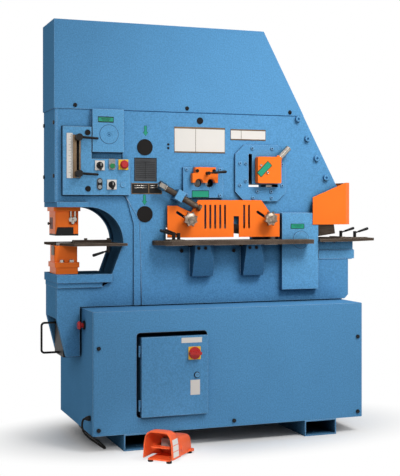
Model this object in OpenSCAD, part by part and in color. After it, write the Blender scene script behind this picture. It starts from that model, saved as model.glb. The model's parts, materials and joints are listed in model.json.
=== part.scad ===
/* [Base] */
// Length of the base cabinet
base_w = 1340; // [1290:10:1460]
// Depth of the base cabinet, front to back
base_d = 670; // [610:10:740]
// Height of the base cabinet's walls
base_h = 550; // [510:10:620]
// Thickness of the cabinet sheet
base_t = 5; // [3:0.5:7]
// Width of a fork tube
fork_w = 166; // [140:2:190]
// Height of a fork tube
fork_h = 75; // [62:1:96]
// Wall of a fork tube
fork_t = 6; // [4:0.5:10]
// Distance between the fork tubes' centres
fork_pitch = 890; // [800:10:980]
// Radius of a floor anchor hole
anchor_r = 9; // [6:0.5:12]

/* [Frame] */
// Depth over the two frame plates
frame_d = 250; // [240:5:290]
// Thickness of a frame plate
plate_t = 30; // [22:1:32]
// Thickness of the proud front sheet on the shear side
overlay_t = 8; // [4:1:12]
// Reach of the punch end beyond the cabinet's left wall
punch_reach = 126; // [116:1:150]
// Reach of the frame's right edge beyond the pivot
frame_over = 276; // [264:1:290]
// Height of the hood's lower edge above the cabinet
hood_z = 916; // [900:2:980]
// Height of the hood
hood_h = 408; // [380:2:460]
// Length of the hood's flat top
hood_top_w = 1031; // [960:2:1100]
// Thickness of the hood's sheet
hood_t = 4; // [2:0.5:6]

/* [Throat] */
// Radius of the throat's arc
throat_r = 165; // [150:1:172]
// Height of the throat's top above the cabinet
throat_top = 464; // [456:1:476]
// Height of the lower platen's top above the cabinet
throat_floor = 154; // [144:1:164]
// Height of the lower platen block
platen_h = 37; // [28:1:44]
// Height of the upper platen
platen_up_h = 23; // [16:1:30]
// Depth of the platens, front to back
platen_d = 290; // [270:2:330]

/* [Punch station] */
// Distance of the punch axis left of the cabinet's wall
punch_off = 57; // [52:1:64]
// Radius of the punch ram
ram_r = 38; // [30:1:44]
// Stroke of the punch ram
ram_stroke = 55; // [30:1:60]
// Radius of the die's bore
die_r = 14.3; // [8:0.1:20]
// Outer radius of the die
die_outer_r = 35; // [28:1:42]
// Clearance of a running shaft in its bore
run_clear = 0.05; // [0.02:0.01:0.1]
// Gap between pieces that pass each other
pass_gap = 0.4; // [0.3:0.05:1]

/* [Shear stations] */
// Distance of the pivot right of the cabinet's left wall
pivot_off = 1094; // [1086:1:1110]
// Height of the pivot above the cabinet
pivot_z = 304; // [298:1:312]
// Radius of the pivot pin
pivot_r = 42; // [34:1:50]
// Thickness of the shear beam
beam_t = 70; // [56:1:76]
// Height of the work tables above the cabinet
table_z = 307; // [302:1:312]
// Thickness of the shear table
table_t = 21; // [14:1:26]
// Reach of the shear table in front of the frame
table_reach = 102; // [90:1:130]
// Length of the shear guard
guard_w = 577; // [560:1:600]
// Travel of the shear guard along its slots
guard_travel = 34; // [10:1:36]
// Angle of the guard's slots below level
guard_angle = 32; // [20:1:38]
// Largest turn of the shear beam, in degrees
beam_turn = 5.5; // [3:0.1:5.5]

/* [Control panel] */
// Depth of the control panel's box
panel_d = 25; // [18:1:32]
// Thickness of the panel's sheet
panel_t = 3; // [2:0.5:5]
// Width of the control panel
panel_w = 316; // [308:1:324]
// Height of the control panel
panel_h = 313; // [306:1:320]

/* [Foot pedal] */
// Width of the pedal's guard
pedal_w = 142; // [124:1:160]
// Length of the pedal over its guard and housing
pedal_l = 245; // [220:1:270]
// Height of the pedal's guard
pedal_h = 135; // [115:1:150]
// Turn of the pedal away from the machine's front, in degrees
pedal_turn = -44; // [-60:1:-20]
// Diameter of the pedal's cord
cord_dia = 9; // [7:0.5:11]

/* [Hidden] */
$fn = 64;
// Overrun of every cut
cut = 2;
// Part of a whole used where a piece is centred
half_share = 0.5;

// Main planes: left and right walls, front and back of the cabinet, its top, and the frame's faces
left = -base_w / 2;
right = base_w / 2;
front = -base_d / 2;
back = base_d / 2;
top = fork_h + base_h;
face = -frame_d / 2;
inner = frame_d / 2 - plate_t;
skin = face - overlay_t;
pivot_x = left + pivot_off;
pivot_h = top + pivot_z;
punch_x = left - punch_off;
blue = [0.26, 0.5, 0.72];
orange = [0.93, 0.42, 0.1];
steel = [0.45, 0.42, 0.39];
dark = [0.12, 0.12, 0.12];
silver = [0.75, 0.75, 0.77];

// Points of an outline given as shares of a width and a height
function scaled(shares, w, h) = [for (s = shares) [s[0] * w, s[1] * h]];
// Outline in the upright plane, from the plane at y towards the front
module slab(y, t) {
  translate([0, y, 0]) rotate([90, 0, 0]) linear_extrude(t) children();
}
// Round bar along Y, from y towards the front
module bar_y(x, y, z, len, r) {
  translate([x, y, z]) rotate([90, 0, 0]) cylinder(r = r, h = len);
}
// Round bar along X, from x to the right
module bar_x(x, y, z, len, r) {
  translate([x, y, z]) rotate([0, 90, 0]) cylinder(r = r, h = len);
}
// Rectangle with round corners, centred
module rounded(w, h, r) {
  square([w - 2 * r, h], center = true);
  square([w, h - 2 * r], center = true);
  for (i = [-1, 1], j = [-1, 1]) {
    translate([i * (w / 2 - r), j * (h / 2 - r)]) circle(r);
  }
}
// Box whose lower left front corner is at the given point
module block(x0, y0, z0, x1, y1, z1) {
  translate([x0, y0, z0]) cube([x1 - x0, y1 - y0, z1 - z0]);
}
// Outline with its corners cut by a share of the chamfer
module chamfered(w, h, c) {
  polygon([[-w / 2 + c, -h / 2], [w / 2 - c, -h / 2], [w / 2, -h / 2 + c], [w / 2, h / 2 - c],
    [w / 2 - c, h / 2], [-w / 2 + c, h / 2], [-w / 2, h / 2 - c], [-w / 2, -h / 2 + c]]);
}

// Fork tubes and their floor anchors
anchor_in = 60;
anchor_y = base_d - 2 * anchor_in;
module fork_tubes() {
  color(blue) for (i = [-1, 1]) translate([i * fork_pitch / 2, 0, 0]) difference() {
    translate([-fork_w / 2, front, 0]) cube([fork_w, base_d, fork_h]);
    translate([-fork_w / 2 + fork_t, front - cut, fork_t])
      cube([fork_w - 2 * fork_t, base_d + 2 * cut, fork_h - 2 * fork_t]);
    for (j = [-1, 1]) translate([0, j * anchor_y / 2, -cut]) cylinder(r = anchor_r, h = fork_t + 2 * cut);
  }
}

// Electrical enclosure, its door and the opening that it shows through
door_w = 315;
door_h = 357;
door_x = 219;
door_z = 73;
door_depth = 19;
door_proud = 20;
door_t = 2;
door_fit = 1;
opening_w = 337;
opening_h = 380;
opening_x = 200;
opening_z = 70;
opening_r = 16;
box_depth = 180;
hinge_r = 5;
hinge_pin_r = 3;
hinge_len = 34;
hinge_fix = 16;
hinge_shares = [0.12, 0.8];
door_l = left + door_x;
door_b = fork_h + door_z;
hinge_x = door_l - hinge_r - pass_gap;
hinge_y = front - hinge_r + door_fit;

// Slug drawer under the die
drawer_side = 2;
drawer_w = 2 * (inner - drawer_side);
drawer_h = 160;
drawer_drop = 228;
drawer_in = 190;
drawer_face = 80;
drawer_t = 2;
drawer_b = top - drawer_drop;

// Stop button's place on the left wall
side_stop_in = 153;
side_stop_drop = 73;
stop_stem_r = 11;
side_stop_y = front + side_stop_in;
side_stop_z = top - side_stop_drop;

// Cabinet walls, open at the front and where the slug drawer passes
corner_r = 8;
shelf_t = 4;
module base_shape() {
  rounded(base_w, base_d, corner_r);
}
module base_cabinet() {
  color(blue) {
    difference() {
      translate([0, 0, fork_h]) linear_extrude(base_h) base_shape();
      block(left + base_t, front - cut, fork_h + base_t, right - base_t, back - base_t, top - base_t);
      block(left - cut, front - cut, fork_h - cut, right + cut, front + base_t, top + cut);
      block(left - cut, -drawer_w / 2 - pass_gap, drawer_b - pass_gap, left + base_t + cut,
        drawer_w / 2 + pass_gap, drawer_b + drawer_h + pass_gap);
      bar_x(left - cut, side_stop_y, side_stop_z, base_t + 2 * cut, stop_stem_r + run_clear);
    }
    block(left + base_t, -drawer_w / 2, drawer_b - pass_gap - shelf_t, left + drawer_in, drawer_w / 2,
      drawer_b - pass_gap);
  }
}
module front_panel() {
  color(blue) difference() {
    translate([0, 0, fork_h]) linear_extrude(base_h) intersection() {
      base_shape();
      translate([-base_w / 2, front]) square([base_w, base_t]);
    }
    translate([left + opening_x + opening_w / 2, 0, fork_h + opening_z + opening_h / 2])
      slab(front + base_t + cut, base_t + 2 * cut) rounded(opening_w, opening_h, opening_r);
  }
}
box_l = door_l + door_t + door_fit;
box_r = door_l + door_w - door_t - door_fit;
box_b = door_b + door_t + door_fit;
box_t = door_b + door_h - door_t - door_fit;
box_front = front - hinge_r + door_fit;
foot_w = 40;
lug_t = 4;
module enclosure_box() {
  color(blue) {
    difference() {
      block(box_l, box_front, box_b, box_r, front + box_depth, box_t);
      block(box_l + door_t, box_front - cut, box_b + door_t, box_r - door_t,
        front + box_depth - door_t, box_t - door_t);
    }
    for (x = [box_l, box_r - foot_w])
      block(x, front + box_depth - foot_w, fork_h + base_t, x + foot_w, front + box_depth, box_b);
    for (s = hinge_shares) translate([hinge_x, hinge_y, door_b + s * door_h]) {
      translate([0, 0, -hinge_fix]) cylinder(r = hinge_r, h = hinge_fix);
      translate([0, 0, -hinge_fix]) cylinder(r = hinge_pin_r, h = hinge_fix + hinge_len);
      block(-hinge_r, hinge_r - door_fit / 2, -hinge_fix, box_l - hinge_x, hinge_r + lug_t, 0);
      block(-hinge_r, 0, -hinge_fix, 0, hinge_r + lug_t, 0);
    }
  }
}

// Door with its rim, hinge knuckles and the plate under its main switch
knob_plate = 60;
knob_plate_t = 3;
knob_shares = [0.79, 0.78];
latch_shares = [0.83, 0.5];
latch_r = 11;
knob_r = 28;
knob_stem_r = 9;
knob_x = door_l + knob_shares[0] * door_w;
knob_z = door_b + knob_shares[1] * door_h;
latch_x = door_l + latch_shares[0] * door_w;
latch_z = door_b + latch_shares[1] * door_h;
door_f = front - door_proud;
module electrical_door() {
  color(blue) difference() {
    union() {
      difference() {
        block(door_l, door_f, door_b, door_l + door_w, door_f + door_depth, door_b + door_h);
        block(door_l + door_t, door_f + door_t, door_b + door_t, door_l + door_w - door_t,
          door_f + door_depth + cut, door_b + door_h - door_t);
      }
      for (s = hinge_shares) translate([hinge_x, hinge_y, door_b + s * door_h + pass_gap]) {
        cylinder(r = hinge_r, h = hinge_len - pass_gap);
        block(0, -hinge_r, 0, door_l - hinge_x + door_t / 2, 0, hinge_len - pass_gap);
      }
      translate([knob_x - knob_plate / 2, door_f - knob_plate_t, knob_z - knob_plate / 2])
        cube([knob_plate, knob_plate_t, knob_plate]);
    }
    for (s = hinge_shares) translate([hinge_x, hinge_y, door_b + s * door_h - cut])
      cylinder(r = hinge_pin_r + run_clear, h = hinge_len + 2 * cut);
    bar_y(knob_x, door_f + door_t + cut, knob_z, knob_plate_t + door_t + 2 * cut, knob_stem_r + run_clear);
    bar_y(latch_x, door_f + door_t + cut, latch_z, door_t + 2 * cut, latch_r * half_share + run_clear);
  }
}
knob_flange = 6;
knob_depth = 24;
knob_grip = 14;
module disconnect_knob() {
  color([0.75, 0.05, 0.08]) {
    bar_y(knob_x, door_f + door_t, knob_z, door_t + knob_plate_t, knob_stem_r);
    bar_y(knob_x, door_f - knob_plate_t - pass_gap, knob_z, knob_flange, knob_r);
    bar_y(knob_x, door_f - knob_plate_t, knob_z, knob_flange, knob_stem_r);
    translate([knob_x, 0, knob_z]) slab(door_f - knob_plate_t - knob_flange, knob_depth - knob_flange)
      rounded(2 * knob_r, knob_grip, knob_grip / 3);
  }
}
latch_depth = 6;
latch_tongue = 26;
module door_latch() {
  color(silver) difference() {
    union() {
      bar_y(latch_x, door_f - pass_gap, latch_z, latch_depth, latch_r);
      bar_y(latch_x, door_f + door_t + latch_depth, latch_z, latch_depth + door_t + latch_depth,
        latch_r * half_share);
      translate([latch_x, 0, latch_z - latch_tongue / 2]) slab(door_f + door_t + latch_depth,
        latch_depth - pass_gap)
        rounded(latch_r, latch_tongue + latch_r, latch_r / 3);
    }
    translate([latch_x, 0, latch_z]) slab(door_f - pass_gap - latch_depth / 2, latch_depth)
      square([latch_r, latch_r / 4], center = true);
  }
}

// Oil tank, motor, pump and valve block inside the cabinet
tank_w = 460;
tank_d = 300;
tank_h = 240;
tank_off = 550;
tank_x = right - tank_off;
motor_r = 90;
motor_len = 260;
pump_r = 55;
pump_len = 110;
valve_w = 120;
module power_unit() {
  tank_y = back - base_t - tank_d - valve_w / 2;
  motor_z = fork_h + base_t + tank_h + motor_r;
  color(dark) {
    block(tank_x, tank_y, fork_h + base_t, tank_x + tank_w, tank_y + tank_d, fork_h + base_t + tank_h);
    bar_x(tank_x + valve_w / 2, tank_y + tank_d / 2, motor_z, motor_len, motor_r);
    bar_x(tank_x + valve_w / 2 + motor_len, tank_y + tank_d / 2, motor_z, pump_len, pump_r);
    block(tank_x + tank_w - valve_w, tank_y, fork_h + base_t + tank_h, tank_x + tank_w,
      tank_y + valve_w / 2, fork_h + base_t + tank_h + valve_w);
  }
}

// Frame plates
seat_h = 5;
plate_up = 130;
cover_t = 10;
arm_gap = 9;
arm_drop = 222;
arm_tip = 72;
arm_shoulder = 48;
foot_cut = 20;
slope_end = 448;
plate_l = left - punch_reach + cover_t;
frame_r = pivot_x + frame_over;
hood_l = left - punch_reach;
hood_top = top + hood_z + hood_h;
slope_run = (frame_r - hood_l - hood_top_w) / (hood_z + hood_h - slope_end);
function slope_x(z) = frame_r - (z - top - slope_end) * slope_run;
throat_in = 33;
throat_x = left + throat_in;
throat_c = top + throat_top - throat_r;
throat_foot_in = 144;
throat_foot = left + throat_foot_in;
floor_z = top + throat_floor;
step_h = 23;
platen_set = 6;
platen_l = left - punch_reach + platen_set;
platen_up_in = 26;
platen_up_r = left + platen_up_in;
platen_in = 139;
platen_r = left + platen_in;
step_in = 95;
step_r = left + step_in;
// Windows of the shear stations
slot_reach = 690;
slot_off = 110;
slot_drop = 24;
slot_rise = 78;
slot_l = pivot_x - slot_reach;
slot_r = pivot_x - slot_off;
slot_b = pivot_h - slot_drop;
slot_t = pivot_h + slot_rise;
bar_w = 202;
bar_h = 145;
bar_off = 608;
bar_up = 205;
bar_x0 = pivot_x - bar_off;
bar_z0 = pivot_h + bar_up;
angle_w = 268;
angle_h = 274;
angle_off = 342;
angle_up = 189;
angle_x0 = pivot_x - angle_off;
angle_z0 = pivot_h + angle_up;
angle_cut = 46;
notch_off = 96;
notch_drop = 98;
notch_up = 110;
notch_l = pivot_x + notch_off;
notch_b = pivot_h - notch_drop;
notch_t = pivot_h + notch_up;
window_in = 30;
// Upper trunnion
trunnion_off = 121.5;
trunnion_up = 800;
trunnion_x = left + trunnion_off;
trunnion_z = top + trunnion_up;
trunnion_r = 43;
module throat_shape(grow) {
  reach = punch_reach + cut;
  intersection() {
    translate([throat_x, throat_c]) circle(throat_r + grow);
    translate([throat_x, throat_c]) square([2 * throat_r, 2 * throat_r]);
  }
  polygon([[left - reach, floor_z - grow], [throat_foot + grow, floor_z - grow],
    [throat_x + throat_r + grow, throat_c], [throat_x, throat_c],
    [throat_x, top + throat_top + grow], [left - reach, top + throat_top + grow]]);
}
module jaw_cuts() {
  far = left - punch_reach - cut;
  translate([far, top + throat_top - cut]) square([platen_up_r - far, platen_up_h + cut]);
  translate([far, floor_z - platen_h]) square([platen_r - far, platen_h + cut]);
  translate([far, floor_z - platen_h - step_h]) square([step_r - far, step_h + cut]);
  polygon([[step_r, floor_z - platen_h + cut], [platen_r - platen_h / 4, floor_z - platen_h + cut],
    [platen_r - platen_h / 4, floor_z - platen_h], [step_r, floor_z - platen_h - step_h]]);
}
module plate_outline() {
  z1 = top + hood_z + plate_up;
  polygon([[plate_l, z1], [slope_x(z1), z1], [frame_r, top + slope_end], [frame_r, top + seat_h + foot_cut],
    [frame_r - foot_cut, top + seat_h], [left - arm_gap, top + seat_h], [left - arm_gap, top - arm_drop],
    [left - arm_tip, top - arm_drop], [plate_l, top - arm_shoulder]]);
}
module station_cuts(slot_right, slot_top, corner) {
  translate([slot_l, slot_b]) square([slot_right - slot_l, slot_top - slot_b]);
  translate([bar_x0 + window_in, bar_z0 + window_in]) square([bar_w - 2 * window_in,
    bar_h - 2 * window_in]);
  translate([angle_x0 + angle_w / 2, angle_z0 + angle_h / 2]) {
    if (corner > 0) chamfered(angle_w - 2 * window_in, angle_h - 2 * window_in, corner);
    else square([angle_w - 2 * window_in, angle_h - 2 * window_in], center = true);
  }
  translate([notch_l, notch_b]) square([frame_r - notch_l + cut, notch_t - notch_b]);
}
module frame_plate(slot_right, slot_top, corner) {
  difference() {
    plate_outline();
    throat_shape(0);
    jaw_cuts();
    station_cuts(slot_right, slot_top, corner);
    translate([pivot_x, pivot_h]) circle(pivot_r + run_clear);
    translate([trunnion_x, trunnion_z]) circle(trunnion_r + run_clear);
  }
}
module front_plate() {
  color(blue) slab(face + plate_t, plate_t) frame_plate(slot_r, slot_t, angle_cut);
}
rear_slot_in = 44;
module rear_plate() {
  color(blue) slab(-face, plate_t) frame_plate(slot_r - rear_slot_in, slot_t, 0);
}
// Proud sheet on the shear side, with the bevel towards the throat
overlay_off = 247;
overlay_l = left + overlay_off;
overlay_bend = 385;
overlay_in = 55;
overlay_rise = 580;
module front_overlay() {
  z1 = top + hood_z;
  color(blue) slab(face, overlay_t) difference() {
    polygon([[overlay_l, top + seat_h], [overlay_l, top + overlay_bend], [overlay_l - overlay_in, top
      + overlay_rise],
      [overlay_l - overlay_in, z1], [slope_x(z1), z1], [frame_r, top + slope_end],
      [frame_r, top + seat_h + foot_cut], [frame_r - foot_cut, top + seat_h]]);
    station_cuts(slot_r, slot_t, angle_cut);
    translate([pivot_x, pivot_h]) circle(pivot_r + run_clear);
  }
}
// Spacers between the plates, the end cover, and the seats on the cabinet
liner_t = 12;
liner_in = 10;
spacer_r = 30;
spacer_run = 1340;
spacer_shares = [[0.26, 0.12], [0.6, 0.12], [0.93, 0.12], [0.31, 1.05], [0.67, 1.05]];
seat_in = 6;
module frame_spacers() {
  color(blue) {
    slab(inner, 2 * inner) difference() {
      intersection() {
        throat_shape(liner_in + liner_t);
        translate([throat_x, floor_z - platen_h]) square([2 * throat_r, hood_h]);
      }
      throat_shape(liner_in);
      translate([left - punch_reach, floor_z - platen_h]) square([platen_r - left + punch_reach, platen_h]);
    }
    block(plate_l, -inner, top - arm_shoulder, plate_l + cover_t, inner, floor_z - platen_h - step_h);
    block(hood_l, face, top + throat_top + platen_up_h, plate_l, -face, top + hood_z);
    for (s = spacer_shares)
      bar_y(left + s[0] * spacer_run, inner, top + s[1] * hood_z, 2 * inner, spacer_r);
    for (i = [-1, 1]) translate([0, i * (inner + plate_t / 2), top])
      translate([left - arm_gap + seat_in, -plate_t / 2 + seat_in, 0])
        cube([frame_r - left - foot_cut - seat_in, plate_t - 2 * seat_in, seat_h]);
  }
}
// Sheet hood over the cylinders
module hood() {
  color(blue) difference() {
    slab(-face + hood_t, frame_d + 2 * hood_t) polygon([[hood_l - hood_t, top + hood_z], [slope_x(top
      + hood_z)
      + hood_t, top + hood_z], [slope_x(hood_top) + hood_t, hood_top], [hood_l - hood_t, hood_top]]);
    slab(-face, frame_d) polygon([[hood_l, top + hood_z - cut], [slope_x(top + hood_z - cut), top
      + hood_z - cut],
      [slope_x(hood_top - hood_t), hood_top - hood_t], [hood_l, hood_top - hood_t]]);
  }
}
// Upper and lower platens, bored for the ram and for the slugs
slug_r = 30;
module platens() {
  color(blue) {
    difference() {
      block(platen_l, -platen_d / 2, top + throat_top, platen_up_r, platen_d / 2,
        top + throat_top + platen_up_h);
      translate([punch_x, 0, top + throat_top - cut]) cylinder(r = ram_r + cut, h = platen_up_h + 2 * cut);
    }
    difference() {
      union() {
        block(platen_l, -platen_d / 2, floor_z - platen_h, platen_r, platen_d / 2, floor_z);
        block(plate_l, -platen_d / 2 + cover_t, floor_z - platen_h - step_h, step_r, platen_d / 2 - cover_t,
          floor_z - platen_h);
      }
      translate([punch_x, 0, floor_z - platen_h - step_h - cut])
        cylinder(r = slug_r, h = platen_h + step_h + 2 * cut);
    }
  }
}
// Pin blocks, pins and the block of the hold-down screw
block_t = 28;
trunnion_w = 148;
trunnion_block_h = 198;
trunnion_in = 44;
block_w = 196;
block_h = 374;
block_l = 101;
block_drop = 243;
pin_proud = 1;
block_face = skin - block_t;
pin_face = block_face - pin_proud - pass_gap;
cylinder_y = -beam_t / 2;
barrel_r = 50;
collar_r = 58;
hold_angle = 29;
hold_off = 640;
hold_up = 213;
hold_x = pivot_x - hold_off;
hold_z = pivot_h + hold_up;
hold_w = 38;
hold_h = 50;
hold_d = 68;
screw_r = 15;
screw_len = 218;
screw_out = 43;
screw_y = skin - screw_out;
module pin_block(y, w, h) {
  slab(y, block_t) difference() {
    square([w, h]);
    children();
  }
}
module frame_blocks() {
  color(blue) {
    for (y = [face, -face + block_t]) translate([left + trunnion_in, 0, top + hood_z - trunnion_block_h])
      pin_block(y, trunnion_w, trunnion_block_h)
        translate([trunnion_x - left - trunnion_in, trunnion_z - top - hood_z + trunnion_block_h])
          circle(trunnion_r + run_clear);
    for (y = [skin, -face + block_t]) translate([pivot_x - block_l, 0, pivot_h - block_drop])
      pin_block(y, block_w, block_h) translate([block_l, block_drop]) circle(pivot_r + run_clear);
    bar_y(trunnion_x, cylinder_y - collar_r, trunnion_z, cylinder_y - collar_r - face + block_t + pin_proud,
      trunnion_r);
    bar_y(trunnion_x, -face + block_t + pin_proud, trunnion_z,
      -face + block_t + pin_proud - cylinder_y - collar_r, trunnion_r);
    bar_y(pivot_x, -face + block_t + pin_proud, pivot_h, -face - skin + 2 * (block_t + pin_proud), pivot_r);
    difference() {
      translate([hold_x, skin, hold_z]) rotate([0, hold_angle, 0])
        translate([-hold_w / 2, -hold_d, -hold_h / 2]) cube([hold_w, hold_d, hold_h]);
      translate([hold_x, screw_y, hold_z]) rotate([0, 90 + hold_angle, 0])
        cylinder(r = screw_r + run_clear, h = 2 * hold_h, center = true);
    }
  }
}
// Hydraulic cylinders of the punch and of the shear beam
punch_barrel_r = 58;
punch_bore_r = 48;
shear_bore_r = 42;
barrel_end = 30;
head_h = 113;
barrel_top = 1240;
rod_r = 26;
shear_barrel_z = 750;
collar_h = 100;
module hydraulic_cylinders() {
  head_z = top + throat_top + platen_up_h;
  color(dark) {
    difference() {
      union() {
        block(plate_l, -inner, head_z, platen_up_r, inner, head_z + head_h);
        translate([punch_x, 0, head_z + head_h]) cylinder(r = punch_barrel_r, h = top
          + barrel_top - head_z - head_h);
      }
      translate([punch_x, 0, head_z - cut]) cylinder(r = ram_r + run_clear, h = head_h + 2 * barrel_end);
      translate([punch_x, 0, head_z + head_h + barrel_end])
        cylinder(r = punch_bore_r, h = top + barrel_top - head_z - head_h - 2 * barrel_end);
    }
    difference() {
      union() {
        translate([trunnion_x, cylinder_y, top + shear_barrel_z])
          cylinder(r = barrel_r, h = barrel_top - shear_barrel_z);
        block(trunnion_x - collar_r, cylinder_y - collar_r, trunnion_z - collar_h / 2, trunnion_x
          + collar_r,
          cylinder_y + collar_r, trunnion_z + collar_h / 2);
      }
      translate([trunnion_x, cylinder_y, top + shear_barrel_z - cut])
        cylinder(r = rod_r + run_clear, h = 2 * barrel_end);
      translate([trunnion_x, cylinder_y, top + shear_barrel_z + barrel_end])
        cylinder(r = shear_bore_r, h = barrel_top - shear_barrel_z - 2 * barrel_end);
    }
  }
}
// Ram with its piston, coupling nut and punch
piston_h = 40;
nut_r = 44;
nut_h = 40;
nut_drop = 26;
punch_r = 14;
punch_in = 7;
tip_above = ram_stroke - punch_in;
table_step = 10;
die_z = top + table_z - table_step;
module punch_ram() {
  piston_z = top + barrel_top - barrel_end - piston_h - ram_r;
  nut_z = top + throat_top - nut_drop - nut_h;
  color(silver) {
    translate([punch_x, 0, nut_z]) cylinder(r = ram_r, h = piston_z - nut_z);
    translate([punch_x, 0, piston_z]) cylinder(r = punch_bore_r - run_clear, h = piston_h);
    translate([punch_x, 0, nut_z]) cylinder(r = nut_r, h = nut_h, $fn = 8);
    translate([punch_x, 0, die_z + tip_above]) cylinder(r = punch_r, h = nut_z - die_z - tip_above + cut);
  }
}
rod_foot_r = 30;
rod_gap = 0.3;
beam_reach = 1032;
beam_end_h = 80;
beam_room = 14;
beam_tail = throat_top + liner_in + liner_t + beam_reach * sin(beam_turn) + beam_room - pivot_z;
beam_pad_z = beam_tail + beam_end_h;
module shear_rod() {
  piston_z = top + barrel_top - barrel_end - piston_h - rod_r;
  foot_z = pivot_h + beam_pad_z + rod_gap + rod_foot_r;
  color(silver) translate([trunnion_x, cylinder_y, 0]) {
    translate([0, 0, foot_z]) sphere(rod_foot_r);
    translate([0, 0, foot_z]) cylinder(r = rod_r, h = piston_z - foot_z);
    translate([0, 0, piston_z]) cylinder(r = shear_bore_r - run_clear, h = piston_h);
  }
}
// Stripper around the punch
strip_w = 110;
strip_d = 154;
strip_gap = 35;
strip_plate_t = 8;
strip_r = 14;
strip_flange_w = 126;
strip_flange_h = 19;
strip_bore_r = 49;
recess_w = 40;
recess_d = 18;
recess_h = 62;
stud_r = 5;
stud_nut_r = 10;
strip_b = die_z + strip_gap;
strip_top = top + throat_top;
module stripper_housing() {
  color(orange) difference() {
    union() {
      translate([punch_x, 0, strip_b + strip_plate_t]) linear_extrude(strip_top - strip_b - strip_plate_t)
        rounded(strip_w, strip_d, strip_r);
      translate([punch_x, 0, strip_top - strip_flange_h]) linear_extrude(strip_flange_h)
        rounded(strip_flange_w, strip_d + strip_flange_w - strip_w, strip_r);
    }
    translate([punch_x, 0, strip_b]) cylinder(r = strip_bore_r, h = strip_top - strip_b + cut);
    block(punch_x + strip_w / 2 - recess_w - strip_r / 2, -strip_d / 2 - cut,
      strip_top - strip_flange_h - recess_h,
      punch_x + strip_w / 2 - strip_r / 2, -strip_d / 2 + recess_d, strip_top - strip_flange_h);
  }
}
plate_front_t = 5;
plate_front_h = 34;
plate_front_shares = [[-0.42, 0], [0.22, 0], [0.22, 1], [-0.36, 1]];
strip_hole_r = 20;
module stripper_plate() {
  color(dark) {
    difference() {
      translate([punch_x, 0, strip_b]) linear_extrude(strip_plate_t) rounded(strip_w, strip_d, strip_r);
      translate([punch_x, 0, strip_b - cut]) cylinder(r = strip_hole_r, h = strip_plate_t + 2 * cut);
    }
    translate([punch_x, 0, strip_b]) slab(-strip_d / 2, plate_front_t)
      polygon(scaled(plate_front_shares, strip_w, plate_front_h));
  }
}
// Die holder on the lower platen, and its die
holder_base_w = 104;
holder_w = 116;
holder_d = 160;
holder_base_h = 30;
holder_flange_h = 24;
holder_body_w = 109;
holder_body_d = 104;
holder_r = 8;
die_seat = 30;
punch_table_t = 12;
module die_holder() {
  color(orange) difference() {
    union() {
      translate([punch_x, 0, floor_z]) linear_extrude(holder_base_h) rounded(holder_base_w,
        holder_d - holder_r, holder_r);
      translate([punch_x, 0, floor_z + holder_base_h]) linear_extrude(holder_flange_h)
        rounded(holder_w, holder_d, holder_r);
      translate([punch_x, 0, floor_z + holder_base_h])
        linear_extrude(die_z - punch_table_t - floor_z - holder_base_h)
        rounded(holder_body_w, holder_body_d, holder_r);
    }
    translate([punch_x, 0, die_z - punch_table_t - die_seat])
      cylinder(r = die_outer_r + run_clear, h = die_seat + cut);
    translate([punch_x, 0, floor_z - cut]) cylinder(r = slug_r * 0.8, h = die_z - floor_z);
  }
}
die_len = 42;
module punch_die() {
  color(silver) difference() {
    translate([punch_x, 0, die_z - die_len]) cylinder(r = die_outer_r, h = die_len);
    translate([punch_x, 0, die_z - die_len - cut]) cylinder(r = die_r, h = die_len + 2 * cut);
  }
}
// Work tables of the three stations, with their fences
punch_table_w = 320;
punch_table_d = 350;
punch_table_off = 115;
punch_table_x = left - punch_table_off;
punch_table_shares = [[0.22, 0], [1, 0], [1, 0.11], [0.93, 0.13], [0.93, 1], [0, 1], [0, 0.75]];
die_gap = 5;
table_l = 757;
table_end = 36;
table_end_shares = [[0, -0.39], [0.046, -0.82], [0.089, -1]];
notch_table_shares = [[0, 0], [0.485, 0], [1, 0.27], [1, 0.73], [0.485, 1], [0, 1]];
notch_table_w = 355;
notch_table_d = 370;
notch_table_t = 14;
blade_slot_l = 150;
blade_slot_w = 114;
blade_d = 80;
fence_h = 12;
fence_w = 28;
fence_len = 184;
punch_fence_in = 14;
punch_fence_shares = [0.34, 0.94];
lever_hub_r = 8;
lever_hub_h = 30;
lever_r = 4.5;
lever_len = 72;
lever_rise = 18;
stud_len = 8;
shear_fence_x = 694;
shear_fence_w = 72;
shear_fence_d = 76;
shear_fence_y = 22;
fence_shares = [[0.25, 0.08], [0.74, 0.5]];
notch_fence_x = [311, 334];
notch_fence_y = [12, -95];
notch_fence_len = [130, 95];
notch_fence_h = 5;
shear_fence_f = skin - table_reach + shear_fence_y;
module notch_table() {
  translate([notch_l, 0, top + table_z - notch_table_t]) difference() {
    translate([0, -notch_table_d / 2, 0]) linear_extrude(notch_table_t)
      polygon(scaled(notch_table_shares, notch_table_w, notch_table_d));
    translate([pivot_x + blade_slot_l - notch_l, -blade_d / 2 - pass_gap * 2, -cut])
      cube([blade_slot_w, blade_d + 4 * pass_gap, notch_table_t + 2 * cut]);
  }
  for (i = [0, 1]) translate([pivot_x + notch_fence_x[i], notch_fence_y[i], top + table_z]) {
    rotate([0, 0, -90 * i]) translate([-fence_w / 2, -fence_w, 0]) cube([fence_w, notch_fence_len[i],
      notch_fence_h]);
    cylinder(r = lever_hub_r * half_share, h = notch_fence_h + stud_len);
  }
}
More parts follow.
